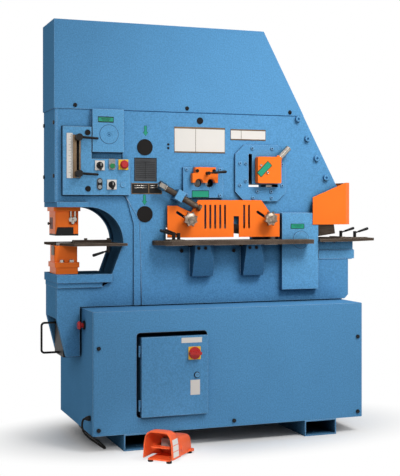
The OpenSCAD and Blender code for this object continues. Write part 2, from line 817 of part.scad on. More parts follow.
module shear_table() {
  translate([0, 0, top + table_z - table_t]) linear_extrude(table_t)
    polygon(concat([[pivot_x - table_l, skin]],
      [for (s = table_end_shares) [pivot_x - (1 - s[0]) * table_l, skin + s[1] * table_reach]],
      [[pivot_x + table_end, skin - table_reach], [pivot_x + table_end, pin_face],
      [pivot_x - block_l, pin_face], [pivot_x - block_l, skin]]));
  block(pivot_x - shear_fence_x, shear_fence_f, top + table_z, pivot_x - shear_fence_x + shear_fence_w,
    shear_fence_f + shear_fence_d, top + table_z + notch_fence_h);
  for (s = fence_shares)
    translate([pivot_x - shear_fence_x + s[0] * shear_fence_w, shear_fence_f + s[1] * shear_fence_d,
      top + table_z])
      cylinder(r = lever_hub_r * half_share, h = notch_fence_h + stud_len);
}
module punch_table() {
  difference() {
    translate([punch_table_x, -punch_table_d / 2, die_z - punch_table_t]) linear_extrude(punch_table_t)
      polygon(scaled(punch_table_shares, punch_table_w, punch_table_d));
    translate([punch_x, 0, die_z - punch_table_t - cut])
      cylinder(r = die_outer_r + die_gap, h = punch_table_t + 2 * cut);
  }
  translate([left - punch_fence_in, 0, die_z]) {
    translate([0, -fence_w / 2, 0]) cube([fence_len, fence_w, fence_h]);
    for (s = punch_fence_shares) translate([s * fence_len, 0, fence_h]) cylinder(r = lever_hub_r,
      h = lever_hub_r);
  }
  translate([punch_lever_x, punch_lever_y, die_z - punch_table_t - stud_len])
    cylinder(r = lever_hub_r * half_share, h = stud_len + cut);
}
punch_lever_in = 118;
punch_lever_edge = 22;
punch_lever_x = left + punch_lever_in;
punch_lever_y = -punch_table_d / 2 + punch_lever_edge;
module work_tables() {
  color(steel) {
    punch_table();
    shear_table();
    notch_table();
  }
}
// Clamp lever with its hub at the origin, its arm along +X and rising
module clamp_lever(len, rise) {
  difference() {
    union() {
      cylinder(r = lever_hub_r, h = lever_hub_h);
      translate([0, 0, lever_hub_h * 0.7]) rotate([0, 90 - rise, 0]) {
        cylinder(r1 = lever_r * 0.8, r2 = lever_r, h = len);
        translate([0, 0, len]) sphere(lever_r);
      }
    }
    translate([0, 0, -cut]) cylinder(r = lever_hub_r * half_share + run_clear, h = stud_len + cut
      + run_clear);
  }
}
module punch_table_lever() {
  color(dark) translate([punch_lever_x, punch_lever_y, die_z - punch_table_t - pass_gap]) mirror([0, 0, 1])
    rotate([0, 0, 170]) clamp_lever(lever_len, lever_rise);
}
module fence_lever(s) {
  color(dark) translate([pivot_x - shear_fence_x + s[0] * shear_fence_w, shear_fence_f
    + s[1] * shear_fence_d,
    top + table_z + notch_fence_h + pass_gap]) rotate([0, 0, 190]) clamp_lever(lever_len, lever_rise);
}
module fence_lever_left() {
  fence_lever(fence_shares[0]);
}
module fence_lever_right() {
  fence_lever(fence_shares[1]);
}
module notch_lever(i) {
  color(dark) translate([pivot_x + notch_fence_x[i], notch_fence_y[i],
    top + table_z + notch_fence_h + pass_gap]) rotate([0, 0, -10]) clamp_lever(lever_len, lever_rise);
}
module notch_lever_front() {
  notch_lever(1);
}
module notch_lever_rear() {
  notch_lever(0);
}
// Brackets under the shear table and blocks under the notch table
bracket_x = [-570, -310];
bracket_w = 105;
bracket_top_d = 84;
bracket_foot_d = 34;
bracket_h = 150;
bracket_cut = 24;
notch_block_x = [[105, 302], [111, 310]];
module table_brackets() {
  zt = top + table_z - table_t;
  color(blue) {
    for (x = bracket_x) difference() {
      translate([pivot_x + x, 0, 0]) rotate([90, 0, 90]) linear_extrude(bracket_w)
        polygon([[skin, zt], [skin - bracket_top_d, zt], [skin - bracket_foot_d, zt - bracket_h],
          [skin, zt - bracket_h]]);
      translate([pivot_x + x + bracket_w, skin - bracket_top_d, zt - bracket_h - cut]) rotate([0, 0, 45])
        translate([-bracket_cut, -bracket_cut, 0]) cube([2 * bracket_cut, 2 * bracket_cut, bracket_h
          + 2 * cut]);
    }
    difference() {
      mid = (notch_b + top + table_z - notch_table_t) / 2;
      union() {
        block(pivot_x + notch_block_x[1][0], skin, notch_b, pivot_x + notch_block_x[1][1], -face, mid);
        block(pivot_x + notch_block_x[0][0], skin, mid, pivot_x + notch_block_x[0][1], -face,
          top + table_z - notch_table_t);
      }
      translate([pivot_x + blade_slot_l, -blade_d / 2 - 2 * pass_gap, notch_b - cut])
        cube([blade_slot_w, blade_d + 4 * pass_gap, table_z]);
    }
  }
}
// Fixed lower blade in the shear's window
module lower_blade() {
  color(steel) block(slot_l, skin, slot_b, slot_r, -beam_t - pass_gap, top + table_z);
}
// Bar shear and angle shear face plates
bar_plate_t = 14;
bar_hole_r = 20;
bar_hole_shares = [[0.352, 0.484], [0.653, 0.484]];
angle_plate_t = 14;
leg_shares = [[[0.258, 0.254], [0.327, 0.837]], [[0.258, 0.254], [0.842, 0.301]]];
pad_screw_r = 7;
pad_screw_h = 5;
angle_screw_shares = [[0.09, 0.67], [0.2, 0.67], [0.2, 0.36], [0.09, 0.28], [0.43, 0.17], [0.7, 0.17],
  [0.33, 0.94], [0.72, 0.94], [0.92, 0.66], [0.92, 0.28], [0.34, 0.06], [0.71, 0.06]];
bar_screw_shares = [[0.08, 0.93], [0.92, 0.93], [0.08, 0.08], [0.92, 0.08]];
module leg_cuts() {
  for (leg = leg_shares) polygon([for (i = [[0, 0], [1, 0], [1, 1], [0, 1]])
    [leg[i[0]][0] * angle_w, leg[i[1]][1] * angle_h]]);
}
module bar_shear_plate() {
  color(blue) translate([bar_x0, 0, bar_z0]) {
    slab(skin, bar_plate_t) difference() {
      square([bar_w, bar_h]);
      for (s = bar_hole_shares) translate([s[0] * bar_w, s[1] * bar_h]) circle(bar_hole_r);
    }
    for (s = bar_screw_shares)
      bar_y(s[0] * bar_w, skin - bar_plate_t, s[1] * bar_h, pad_screw_h, pad_screw_r);
  }
}
module angle_shear_plate() {
  color(blue) translate([angle_x0, 0, angle_z0]) {
    slab(skin, angle_plate_t) difference() {
      translate([angle_w / 2, angle_h / 2]) chamfered(angle_w, angle_h, angle_cut);
      leg_cuts();
    }
    for (s = angle_screw_shares)
      bar_y(s[0] * angle_w, skin - angle_plate_t, s[1] * angle_h, pad_screw_h, pad_screw_r);
  }
}
// Moving beam with its upper blade, open where bars and angles pass
beam_rise = 500;
beam_eye_r = 92;
blade_low = 16;
blade_high = 61;
blade_l = 654;
blade_r = 134;
blade_h = 50;
beam_back_shares = [[-0.68, 0.86], [-0.37, 1], [-0.06, 1]];
module shear_beam() {
  color(steel) translate([pivot_x, 0, pivot_h]) {
    slab(0, beam_t) difference() {
      union() {
        circle(beam_eye_r);
        polygon(concat([[-beam_reach, beam_tail], [-beam_reach, beam_pad_z], [-beam_reach * 0.87,
          beam_pad_z]],
          [for (s = beam_back_shares) [s[0] * beam_reach, s[1] * beam_rise]],
          [[beam_eye_r, 0], [0, -beam_eye_r], [-blade_r, blade_low + blade_h], [-blade_l, blade_high
            + blade_h],
          [-beam_reach * 0.75, beam_tail * 0.8]]));
        polygon([[-blade_r, blade_low], [-blade_r, blade_low + blade_h + cut],
          [-blade_l, blade_high + blade_h + cut], [-blade_l, blade_high]]);
      }
      circle(pivot_r + run_clear);
      for (s = bar_hole_shares)
        translate([bar_x0 - pivot_x + s[0] * bar_w, bar_z0 - pivot_h + s[1] * bar_h]) circle(bar_hole_r);
      translate([angle_x0 - pivot_x, angle_z0 - pivot_h]) leg_cuts();
    }
  }
}
// Notcher arm with its blade, on the same pivot behind the beam
arm_y = 2;
arm_t = 60;
arm_eye_r = 78;
notch_blade_l = 159;
notch_blade_w = 93;
notch_blade_h = 46;
notch_blade_z = 13;
notch_tilt = 8;
holder_up = 62;
module notcher_arm() {
  color(steel) translate([pivot_x, 0, pivot_h]) difference() {
    union() {
      slab(arm_y + arm_t, arm_t) {
        circle(arm_eye_r);
        polygon([[0, 0], [notch_blade_l, notch_blade_z + notch_blade_h * 0.7],
          [notch_blade_l, notch_blade_z + notch_blade_h + holder_up * half_share], [0, arm_eye_r]]);
      }
      translate([notch_blade_l, 0, notch_blade_z]) rotate([0, -notch_tilt, 0])
        translate([0, -blade_d / 2, 0]) cube([notch_blade_w, blade_d, notch_blade_h]);
      translate([notch_blade_l, 0, notch_blade_z + notch_blade_h]) rotate([0, -notch_tilt, 0])
        translate([-cut, -blade_d / 2 + cut, -cut]) cube([notch_blade_w - notch_tilt,
          blade_d - 2 * cut, holder_up * half_share]);
    }
    bar_y(0, arm_y + arm_t + cut, 0, arm_t + 2 * cut, pivot_r + run_clear);
  }
}
// Guard round the notcher, open at its top
notch_guard_l = 64;
notch_guard_b = 74;
notch_guard_t = 3;
notch_guard_low = 135;
notch_guard_high = 209;
notch_guard_bevel = 32;
module guard_plan(x, y0, y1) {
  deep = block_t - notch_guard_t;
  polygon([[pivot_x, y0], [x - notch_guard_bevel, y0], [x, y0 + deep], [x, y1], [pivot_x, y1]]);
}
module notcher_guard() {
  x0 = pivot_x + notch_guard_l;
  x1 = frame_r + notch_guard_t;
  z0 = pivot_h + notch_guard_b;
  y0 = block_face - pass_gap - notch_guard_t;
  y1 = -face + block_t + pass_gap + notch_guard_t;
  color(orange) intersection() {
    slab(y1, y1 - y0) polygon([[x0, z0], [x1, z0], [x1, z0 + notch_guard_high], [x1 - notch_guard_bevel, z0
      + notch_guard_high], [x0, z0 + notch_guard_low]]);
    difference() {
      linear_extrude(z0 + 2 * notch_guard_high) guard_plan(x1, y0, y1);
      translate([0, 0, -cut]) linear_extrude(z0 + 2 * notch_guard_high + 2 * cut)
        guard_plan(x1 - notch_guard_t, y0 + notch_guard_t, y1 - notch_guard_t);
    }
  }
}
// Sliding guard over the shear's mouth
guard_h = 178;
guard_t = 5;
guard_off = 690;
guard_up = 16;
guard_x = pivot_x - guard_off;
guard_z = pivot_h + guard_up;
guard_shares = [[0, 0], [1, 0], [1, 0.63], [0.92, 0.63], [0.831, 1], [0.267, 1], [0.204, 0.671],
  [0.084, 0.846], [0, 0.846]];
notch_shares = [[0.581, -0.1], [0.629, -0.1], [0.629, 0.566], [0.581, 0.566]];
vent_shares = [0.329, 0.373, 0.416, 0.461, 0.504, 0.676, 0.72];
vent_w = 10;
vent_z_shares = [0.235, 0.872];
star_shares = [[0.174, 0.488], [0.887, 0.499]];
star_stud_r = 6.5;
slot_up = 60;
guard_y = skin - angle_plate_t - pad_screw_h - pass_gap;
spacer_sleeve_r = 13;
// Slot that lets the guard rise along its slant, with the stud at its origin
module inclined_slot() {
  r = star_stud_r + pass_gap;
  rotate(-guard_angle) {
    for (x = [-slot_up, guard_travel]) translate([x, 0]) circle(r);
    translate([-slot_up, -r]) square([slot_up + guard_travel, 2 * r]);
  }
}
module shear_guard() {
  color(orange) translate([guard_x, 0, guard_z]) slab(guard_y, guard_t) difference() {
    polygon(scaled(guard_shares, guard_w, guard_h));
    polygon(scaled(notch_shares, guard_w, guard_h));
    for (s = vent_shares) translate([s * guard_w - vent_w / 2, vent_z_shares[0] * guard_h])
      square([vent_w, (vent_z_shares[1] - vent_z_shares[0]) * guard_h]);
    for (s = star_shares) translate([s[0] * guard_w, s[1] * guard_h]) inclined_slot();
  }
}
star_r = 37;
star_h = 20;
star_tips = 8;
star_notch_r = 20;
star_notch_share = 1.3;
star_dome = 5;
star_boss_r = 14;
star_boss_h = 30;
star_bore_h = 34;
module star_knob(s) {
  color(silver) translate([guard_x + s[0] * guard_w, guard_y - guard_t - pass_gap, guard_z
    + s[1] * guard_h])
    rotate([90, 0, 0]) difference() {
      union() {
        cylinder(r = star_boss_r, h = star_boss_h + star_h);
        translate([0, 0, star_boss_h]) difference() {
          union() {
            cylinder(r = star_r, h = star_h);
            translate([0, 0, star_h]) cylinder(r1 = star_r * 0.7, r2 = star_boss_r, h = star_dome);
          }
          for (i = [0 : star_tips - 1]) rotate(i * 360 / star_tips)
            translate([star_r * star_notch_share, 0, -cut]) cylinder(r = star_notch_r, h = star_h
              + 2 * cut);
        }
      }
      translate([0, 0, -cut]) cylinder(r = star_stud_r + run_clear, h = star_bore_h + cut);
    }
}
module star_knob_left() {
  star_knob(star_shares[0]);
}
module star_knob_right() {
  star_knob(star_shares[1]);
}
// Hold-down screw of the shear, on its slant
screw_up_share = 0.44;
screw_head_r = 20;
screw_head_h = 34;
pad_r = 17;
pad_h = 12;
screw_neck_r = 9;
module hold_down_screw() {
  color(silver) translate([hold_x, screw_y, hold_z]) rotate([0, 90 + hold_angle, 0])
    translate([0, 0, -screw_len * screw_up_share]) {
      cylinder(r = screw_r, h = screw_len - 2 * pad_h);
      cylinder(r = screw_neck_r, h = screw_len);
      translate([0, 0, -screw_head_h / 2]) cylinder(r = screw_head_r, h = screw_head_h, $fn = 6);
      translate([0, 0, screw_len - pad_h]) cylinder(r = pad_r, h = pad_h);
    }
}
// Hold-downs of the bar shear and the angle shear
bar_hold_t = 26;
bar_hold_shares = [[0.185, 0.49], [0.823, 0.49], [0.823, 0.797], [0.767, 0.797], [0.767, 1], [0.253, 1],
  [0.253, 0.797], [0.185, 0.797]];
bar_pivot_shares = [0.544, 0.8];
bar_lever_len = 84;
module bar_hold_down() {
  color(orange) translate([bar_x0, 0, bar_z0]) {
    slab(skin - bar_plate_t - pass_gap, bar_hold_t) difference() {
      polygon(scaled(bar_hold_shares, bar_w, bar_h));
      for (s = bar_hole_shares) translate([s[0] * bar_w, s[1] * bar_h]) circle(bar_hole_r);
    }
    bar_y(bar_pivot_shares[0] * bar_w, skin - bar_plate_t - bar_hold_t, bar_pivot_shares[1] * bar_h,
      stud_len, lever_hub_r * half_share);
  }
}
module bar_lever() {
  color(dark) translate([bar_x0 + bar_pivot_shares[0] * bar_w,
    skin - bar_plate_t - bar_hold_t - 2 * pass_gap,
    bar_z0 + bar_pivot_shares[1] * bar_h]) rotate([90, 0, 0]) rotate([0, 0, 5])
      clamp_lever(bar_lever_len, lever_rise / 2);
}
angle_hold_shares = [0.381, 0.842, 0.317, 0.786];
angle_hold_t = 34;
angle_hold_r = 8;
spindle_r = 15;
spindle_len = 86;
spindle_tip = 14;
module angle_hold_down() {
  w = (angle_hold_shares[1] - angle_hold_shares[0]) * angle_w;
  h = (angle_hold_shares[3] - angle_hold_shares[2]) * angle_h;
  y = skin - angle_plate_t - pad_screw_h - pass_gap;
  color(orange) translate([angle_x0 + angle_hold_shares[0] * angle_w + w / 2, 0,
    angle_z0 + angle_hold_shares[2] * angle_h + h / 2]) {
    slab(y, angle_hold_t) rounded(w, h, angle_hold_r);
    slab(y + pad_screw_h, pad_screw_h) rounded(w * 0.7, h * 0.7, angle_hold_r);
    translate([w / 2 - spindle_r, y - angle_hold_t / 2, h / 2 - spindle_r]) rotate([0, 45, 0]) {
      cylinder(r1 = spindle_r * 0.6, r2 = spindle_r, h = spindle_tip);
      translate([0, 0, spindle_tip]) cylinder(r = spindle_r, h = spindle_len - spindle_tip);
    }
  }
}
// Control panel, bent round the trunnion block
panel_out = 93;
panel_up = 520;
panel_l = left - panel_out;
panel_b = top + panel_up;
panel_f = face - panel_d;
panel_shares = [[0, 0], [1, 0], [1, 0.5335], [0.42, 0.5335], [0.42, 1], [0, 1]];
selector_shares = [[0.722, 0.154], [0.541, 0.435]];
start_shares = [0.725, 0.43];
stop_shares = [0.896, 0.45];
jog_shares = [0.54, 0.162];
channel_shares = [[0.143, 0.246], [0.257, 0.878]];
ruler_shares = [[0.051, 0.243], [0.138, 0.902]];
clamp_shares = [[0.215, 0.311], [0.215, 0.838]];
slot_w = 12;
shaft_r = 6;
start_r = 11;
jog_r = 9;
jog_pitch = 28;
function panel_x(s) = panel_l + s[0] * panel_w;
function panel_z(s) = panel_b + s[1] * panel_h;
// Holes through the panel and the plates on it
module panel_holes() {
  for (s = selector_shares) translate([panel_x(s), panel_z(s)]) circle(shaft_r + run_clear);
  translate([panel_x(start_shares), panel_z(start_shares)]) circle(start_r + run_clear);
  translate([panel_x(stop_shares), panel_z(stop_shares)]) circle(stop_stem_r + run_clear);
  for (i = [-1, 1]) translate([panel_x(jog_shares), panel_z(jog_shares) + i * jog_pitch / 2])
    circle(jog_r + run_clear);
  translate([panel_x(clamp_shares[0]) - slot_w / 2, panel_z(clamp_shares[0]) - slot_w])
    square([slot_w, panel_z(clamp_shares[1]) - panel_z(clamp_shares[0]) + 2 * slot_w]);
}
module control_panel() {
  color(blue) difference() {
    translate([panel_l, 0, panel_b]) slab(face, panel_d) polygon(scaled(panel_shares, panel_w, panel_h));
    translate([panel_l, 0, panel_b]) slab(face + cut, panel_d - panel_t + cut) polygon([
      [panel_t, panel_t], [panel_w - panel_t, panel_t], [panel_w - panel_t,
        panel_shares[2][1] * panel_h - panel_t],
      [panel_shares[3][0] * panel_w - panel_t, panel_shares[2][1] * panel_h - panel_t],
      [panel_shares[3][0] * panel_w - panel_t, panel_h - panel_t], [panel_t, panel_h - panel_t]]);
    slab(face + cut, panel_d + 2 * cut) panel_holes();
    block(overlay_l - overlay_in - cut, skin, top, right, face + cut, top + hood_z);
  }
}
legend_t = 4;
selector_plate = 46;
stop_plate = 48;
start_plate_w = 26;
start_plate_h = 50;
jog_plate_w = 26;
jog_plate_h = 54;
ruler_t = 2;
bezel_r = 15;
module panel_plates() {
  color([0.8, 0.8, 0.78]) slab(panel_f, legend_t) difference() {
    union() {
      for (s = selector_shares) translate([panel_x(s), panel_z(s)]) square(selector_plate, center = true);
      translate([panel_x(stop_shares), panel_z(stop_shares)]) square(stop_plate, center = true);
      translate([panel_x(start_shares), panel_z(start_shares) + bezel_r / 2])
        rounded(start_plate_w + bezel_r / 3, start_plate_h, bezel_r / 3);
      translate([panel_x(jog_shares), panel_z(jog_shares)]) rounded(jog_plate_w, jog_plate_h,
        jog_plate_w * 0.45);
      translate([panel_x(channel_shares[0]), panel_z(channel_shares[0])])
        square([(channel_shares[1][0] - channel_shares[0][0]) * panel_w,
          (channel_shares[1][1] - channel_shares[0][1]) * panel_h]);
    }
    panel_holes();
  }
  color([0.95, 0.95, 0.95]) translate([panel_x(ruler_shares[0]), 0, panel_z(ruler_shares[0])])
    slab(panel_f, ruler_t)
    square([(ruler_shares[1][0] - ruler_shares[0][0]) * panel_w,
      (ruler_shares[1][1] - ruler_shares[0][1]) * panel_h]);
}
selector_r = 13;
selector_h = 10;
grip_w = 9;
grip_h = 12;
module selector(s) {
  y = panel_f - legend_t;
  color(dark) translate([panel_x(s), 0, panel_z(s)]) {
    bar_y(0, panel_f + panel_t, 0, panel_t + legend_t + pass_gap, shaft_r);
    bar_y(0, y - pass_gap, 0, selector_h, selector_r);
    translate([0, 0, -grip_w / 2]) slab(y - selector_h, grip_h) rounded(grip_w, 2 * selector_r
      + grip_w, grip_w / 3);
  }
}
module selector_upper() {
  selector(selector_shares[1]);
}
module selector_lower() {
  selector(selector_shares[0]);
}
button_out = 8;
module start_button() {
  color([0, 0.5, 0.25]) bar_y(panel_x(start_shares), panel_f + panel_t, panel_z(start_shares),
    panel_t + legend_t + button_out, start_r);
}
mushroom_r = 20;
mushroom_h = 14;
mushroom_out = 12;
// Mushroom head on its stem, along +Z
module mushroom(stem_r, stem_len) {
  cylinder(r = stem_r, h = stem_len);
  translate([0, 0, stem_len]) cylinder(r1 = mushroom_r * 0.8, r2 = mushroom_r, h = mushroom_h * 0.4);
  translate([0, 0, stem_len + mushroom_h * 0.4]) cylinder(r1 = mushroom_r, r2 = mushroom_r * 0.7,
    h = mushroom_h * 0.6);
}
module stop_button() {
  color([0.75, 0.1, 0.08]) translate([panel_x(stop_shares), panel_f + panel_t, panel_z(stop_shares)])
    rotate([90, 0, 0]) mushroom(stop_stem_r, panel_t + legend_t + mushroom_out);
}
jog_out = 4;
module jog_button(i) {
  color(dark) bar_y(panel_x(jog_shares), panel_f + panel_t, panel_z(jog_shares) + i * jog_pitch / 2,
    panel_t + legend_t + jog_out, jog_r);
}
module jog_up_button() {
  jog_button(1);
}
module jog_down_button() {
  jog_button(-1);
}
clamp_hub_r = 16;
clamp_hub_h = 36;
clamp_arm_r = 4.5;
clamp_arm_len = 84;
clamp_arm_drop = 3;
clamp_nut_h = 6;
module stroke_clamp(s) {
  y = panel_f - legend_t - pass_gap;
  color(dark) translate([panel_x(s), 0, panel_z(s)]) {
    bar_y(0, y, 0, clamp_hub_h, clamp_hub_r);
    slab(panel_f + panel_t + clamp_nut_h, clamp_nut_h + panel_t + legend_t + 2 * pass_gap)
      square([slot_w - 2 * pass_gap, slot_w], center = true);
    slab(panel_f + panel_t + pass_gap + clamp_nut_h, clamp_nut_h) square([2 * slot_w, slot_w],
      center = true);
    translate([0, y - clamp_hub_h * 0.85, 0]) rotate([0, 90 + clamp_arm_drop, 0]) {
      cylinder(r1 = clamp_arm_r, r2 = clamp_arm_r * 0.8, h = clamp_arm_len);
      translate([0, 0, clamp_arm_len]) sphere(clamp_arm_r * 0.8);
    }
  }
}
module stroke_clamp_upper() {
  stroke_clamp(clamp_shares[1]);
}
module stroke_clamp_lower() {
  stroke_clamp(clamp_shares[0]);
}
// Stop button on the cabinet's left wall
side_ring_r = 20;
side_ring_h = 8;
module side_stop_button() {
  color([0.75, 0.1, 0.08]) translate([left + base_t, side_stop_y, side_stop_z]) rotate([0, -90, 0])
    mushroom(stop_stem_r, base_t + side_ring_h + mushroom_out);
}
// Bolts, studs and button rings on the frame and cabinet
cap_r = 14;
cap_h = 14;
screw_cap_r = 9;
screw_cap_h = 5;
slope_bolts = 4;
slope_bolt_in = 41;
slope_bolt_drop = 16;
slope_bolt_share = 0.2056;
end_bolt_shares = [0.28, 0.85];
end_bolt_in = 14;
panel_screw_in = 26;
panel_screw_up = 388;
holder_bolt_r = 9;
holder_bolt_h = 12;
module frame_bolts() {
  color(dark) {
    for (i = [0 : slope_bolts - 1]) {
      z = top + hood_z - slope_bolt_drop - i * (hood_z - slope_end) * slope_bolt_share;
      bar_y(slope_x(z) - slope_bolt_in, skin, z, cap_h, cap_r);
    }
    for (s = end_bolt_shares, i = [-1, 1])
      translate([hood_l - screw_cap_h, i * (frame_d / 2 - end_bolt_in), top + throat_top + platen_up_h
        + s * (hood_z - throat_top - platen_up_h)]) rotate([0, 90, 0]) cylinder(r = screw_cap_r,
          h = screw_cap_h);
    for (x = [left + panel_screw_in, right - panel_screw_in], z = [fork_h + panel_screw_in, fork_h
      + panel_screw_up])
      bar_y(x, front, z, screw_cap_h, screw_cap_r);
    bar_y(0, front, fork_h + panel_screw_in, screw_cap_h, screw_cap_r);
    for (s = star_shares) {
      bar_y(guard_x + s[0] * guard_w, skin, guard_z + s[1] * guard_h, skin - guard_y - pass_gap,
        spacer_sleeve_r);
      bar_y(guard_x + s[0] * guard_w, skin, guard_z + s[1] * guard_h, skin - guard_y + pass_gap + guard_t
        + star_boss_h, star_stud_r);
    }
    for (s = [0.25, 0.75]) translate([punch_x + strip_w / 2 - strip_r / 2 - s * recess_w,
      -strip_d / 2 + recess_d / 2, strip_top - strip_flange_h - recess_h * 0.8]) {
      cylinder(r = stud_r, h = recess_h * 0.8);
      cylinder(r = recess_d * 0.45, h = stud_nut_r, $fn = 6);
    }
    for (i = [-1, 1]) translate([punch_x + i * holder_w * 0.2, -holder_d / 2
      + (holder_d - holder_body_d) / 4,
      floor_z + holder_base_h + holder_flange_h]) cylinder(r = holder_bolt_r, h = holder_bolt_h);
    difference() {
      translate([left - side_ring_h, side_stop_y, side_stop_z]) rotate([0, 90, 0])
        cylinder(r = side_ring_r, h = side_ring_h);
      bar_x(left - side_ring_h - cut, side_stop_y, side_stop_z, side_ring_h + 2 * cut, stop_stem_r
        + run_clear);
    }
  }
}
// Rubber round the door's opening, and plugs in the frame's access holes
gasket_w = 6;
gasket_proud = 0.5;
plug_r = 38;
plug_t = 3;
plug_small_r = 16;
plug_off = 300;
plug_ups = [745, 431];
plug_small_off = 575;
plug_small_up = 877;
panel_plug_r = 13;
panel_plug_shares = [[0.362, 0.916], [0.368, 0.09], [0.893, 0.156]];
module gaskets_and_plugs() {
  color(dark) {
    translate([left + opening_x + opening_w / 2, 0, fork_h + opening_z + opening_h / 2])
      slab(front + base_t, base_t + gasket_proud) difference() {
        rounded(opening_w, opening_h, opening_r);
        rounded(opening_w - gasket_w, opening_h - gasket_w, opening_r - gasket_w / 2);
      }
    for (z = plug_ups) bar_y(left + plug_off, skin, top + z, plug_t, plug_r);
    bar_y(left + plug_small_off, skin, top + plug_small_up, plug_t, plug_small_r);
    for (s = panel_plug_shares) bar_y(panel_x(s), panel_f, panel_z(s), plug_t, panel_plug_r);
  }
}
// Slug drawer with its bent handle
handle_r = 5;
handle_reach = 87;
handle_bend = 14;
handle_in = 8;
module quarter_bend(r, bend) {
  rotate_extrude(angle = 90) translate([bend, 0]) circle(r);
}
module slug_drawer() {
  x0 = left - drawer_face;
  x1 = left + drawer_in - pass_gap * 10;
  z0 = drawer_b + handle_in + handle_r;
  z1 = drawer_b + drawer_h - handle_in;
  xh = x0 - handle_reach + handle_r;
  color(dark) {
    difference() {
      block(x0, -drawer_w / 2, drawer_b, x1, drawer_w / 2, drawer_b + drawer_h);
      block(x0 + drawer_t, -drawer_w / 2 + drawer_t, drawer_b + drawer_t, x1 - drawer_t,
        drawer_w / 2 - drawer_t,
        drawer_b + drawer_h + cut);
    }
    for (z = [z0, z1]) bar_x(xh + handle_bend, 0, z, x0 - xh - handle_bend + drawer_t, handle_r);
    translate([xh, 0, z0 + handle_bend]) cylinder(r = handle_r, h = z1 - z0 - 2 * handle_bend);
    translate([xh + handle_bend, 0, z0 + handle_bend]) rotate([90, 0, 0]) rotate(180)
      quarter_bend(handle_r, handle_bend);
    translate([xh + handle_bend, 0, z1 - handle_bend]) rotate([90, 0, 0]) rotate(90)
      quarter_bend(handle_r, handle_bend);
  }
}
// Gland where the pedal's cord leaves the cabinet
gland_in = 47;
gland_up = 74;
gland_y = front + gland_in;
gland_z = fork_h + gland_up;
gland_r = 12;
gland_len = 24;
gland_fit = 0.2;
module cord_gland() {
  color(dark) difference() {
    union() {
      bar_x(left - gland_len * half_share, gland_y, gland_z, gland_len * half_share, gland_r);
      translate([left - gland_len, gland_y, gland_z]) rotate([0, 90, 0])
        cylinder(r1 = cord_dia * 0.75, r2 = gland_r * 0.9, h = gland_len * half_share);
    }
    bar_x(left - gland_len - cut, gland_y, gland_z, gland_len + 2 * cut, cord_dia / 2 + gland_fit);
  }
}
// Foot pedal: cast guard on a base plate, with a rear housing
pedal_in = 218;
pedal_out = 257;
pedal_x = left + pedal_in;
pedal_y = front - pedal_out;
pedal_foot_h = 10;
pedal_foot_r = 11;
pedal_plate_t = 6;
pedal_wall = 5;
pedal_guard_l = 140;
pedal_ear_w = 128;
pedal_ear_l = 30;
pedal_ear_h = 9;
pedal_ear_r = 4.5;
pedal_round = 22;
pedal_house_w = 86;
pedal_house_h = 100;
pedal_plate_w = 110;
pedal_pin_r = 4;
pedal_pin_y = 128;
pedal_pin_z = 44;
pedal_lug_w = 8;
pedal_feet_shares = [[-0.4, 0.08], [0.4, 0.08], [-0.4, 0.92], [0.4, 0.92]];
// Arch of the guard, seen from its mouth
module pedal_arch(w, h) {
  translate([0, h / 2]) rounded(w, h, pedal_round);
  translate([-w / 2, 0]) square([w, h / 2]);
}
// Guard shell, open at its mouth and below
module pedal_shell() {
  h = pedal_h - pedal_foot_h;
  translate([0, 0, pedal_foot_h]) difference() {
    slab(pedal_guard_l, pedal_guard_l) pedal_arch(pedal_w, h);
    slab(pedal_guard_l - pedal_wall, pedal_guard_l) translate([0, -cut])
      pedal_arch(pedal_w - 2 * pedal_wall,
      h - pedal_wall + cut);
  }
}
module in_pedal() {
  translate([pedal_x, pedal_y, 0]) rotate([0, 0, pedal_turn]) children();
}
module pedal_body() {
  color([0.88, 0.35, 0.19]) in_pedal() {
    difference() {
      union() {
        pedal_shell();
        translate([-pedal_plate_w / 2, pedal_wall, pedal_foot_h])
          cube([pedal_plate_w, pedal_l - 2 * pedal_wall, pedal_plate_t]);
        translate([0, 0, pedal_foot_h]) slab(pedal_l, pedal_l - pedal_guard_l + pedal_wall)
          pedal_arch(pedal_house_w, pedal_house_h);
        translate([0, pedal_l - pedal_ear_l / 2, pedal_foot_h]) linear_extrude(pedal_ear_h) difference() {
          rounded(pedal_ear_w, pedal_ear_l, pedal_ear_l * 0.4);
          for (i = [-1, 1]) translate([i * (pedal_ear_w - pedal_ear_l) / 2, 0]) circle(pedal_ear_r);
        }
        for (i = [-1, 1]) translate([i * (pedal_plate_w / 2 - pedal_lug_w / 2) - pedal_lug_w / 2,
          pedal_pin_y - pedal_lug_w, pedal_foot_h]) cube([pedal_lug_w, 2 * pedal_lug_w, pedal_pin_z]);
      }
      translate([-pedal_plate_w / 2 - run_clear, pedal_pin_y, pedal_pin_z]) rotate([0, 90, 0])
        cylinder(r = pedal_pin_r + run_clear, h = pedal_plate_w + 2 * run_clear);
    }
    for (s = pedal_feet_shares) translate([s[0] * pedal_plate_w, s[1] * pedal_l, 0])
      cylinder(r = pedal_foot_r, h = pedal_foot_h);
  }
}
treadle_w = 84;
treadle_l = 112;
treadle_t = 5;
treadle_rise = 8;
module pedal_treadle() {
  color([0.8, 0.3, 0.12]) in_pedal() {
    translate([-pedal_plate_w / 2, pedal_pin_y, pedal_pin_z]) rotate([0, 90, 0])
      cylinder(r = pedal_pin_r, h = pedal_plate_w);
    translate([0, pedal_pin_y, pedal_pin_z]) rotate([-treadle_rise, 0, 0])
      translate([-treadle_w / 2, -treadle_l, 0]) cube([treadle_w, treadle_l + pedal_pin_r, treadle_t]);
  }
}
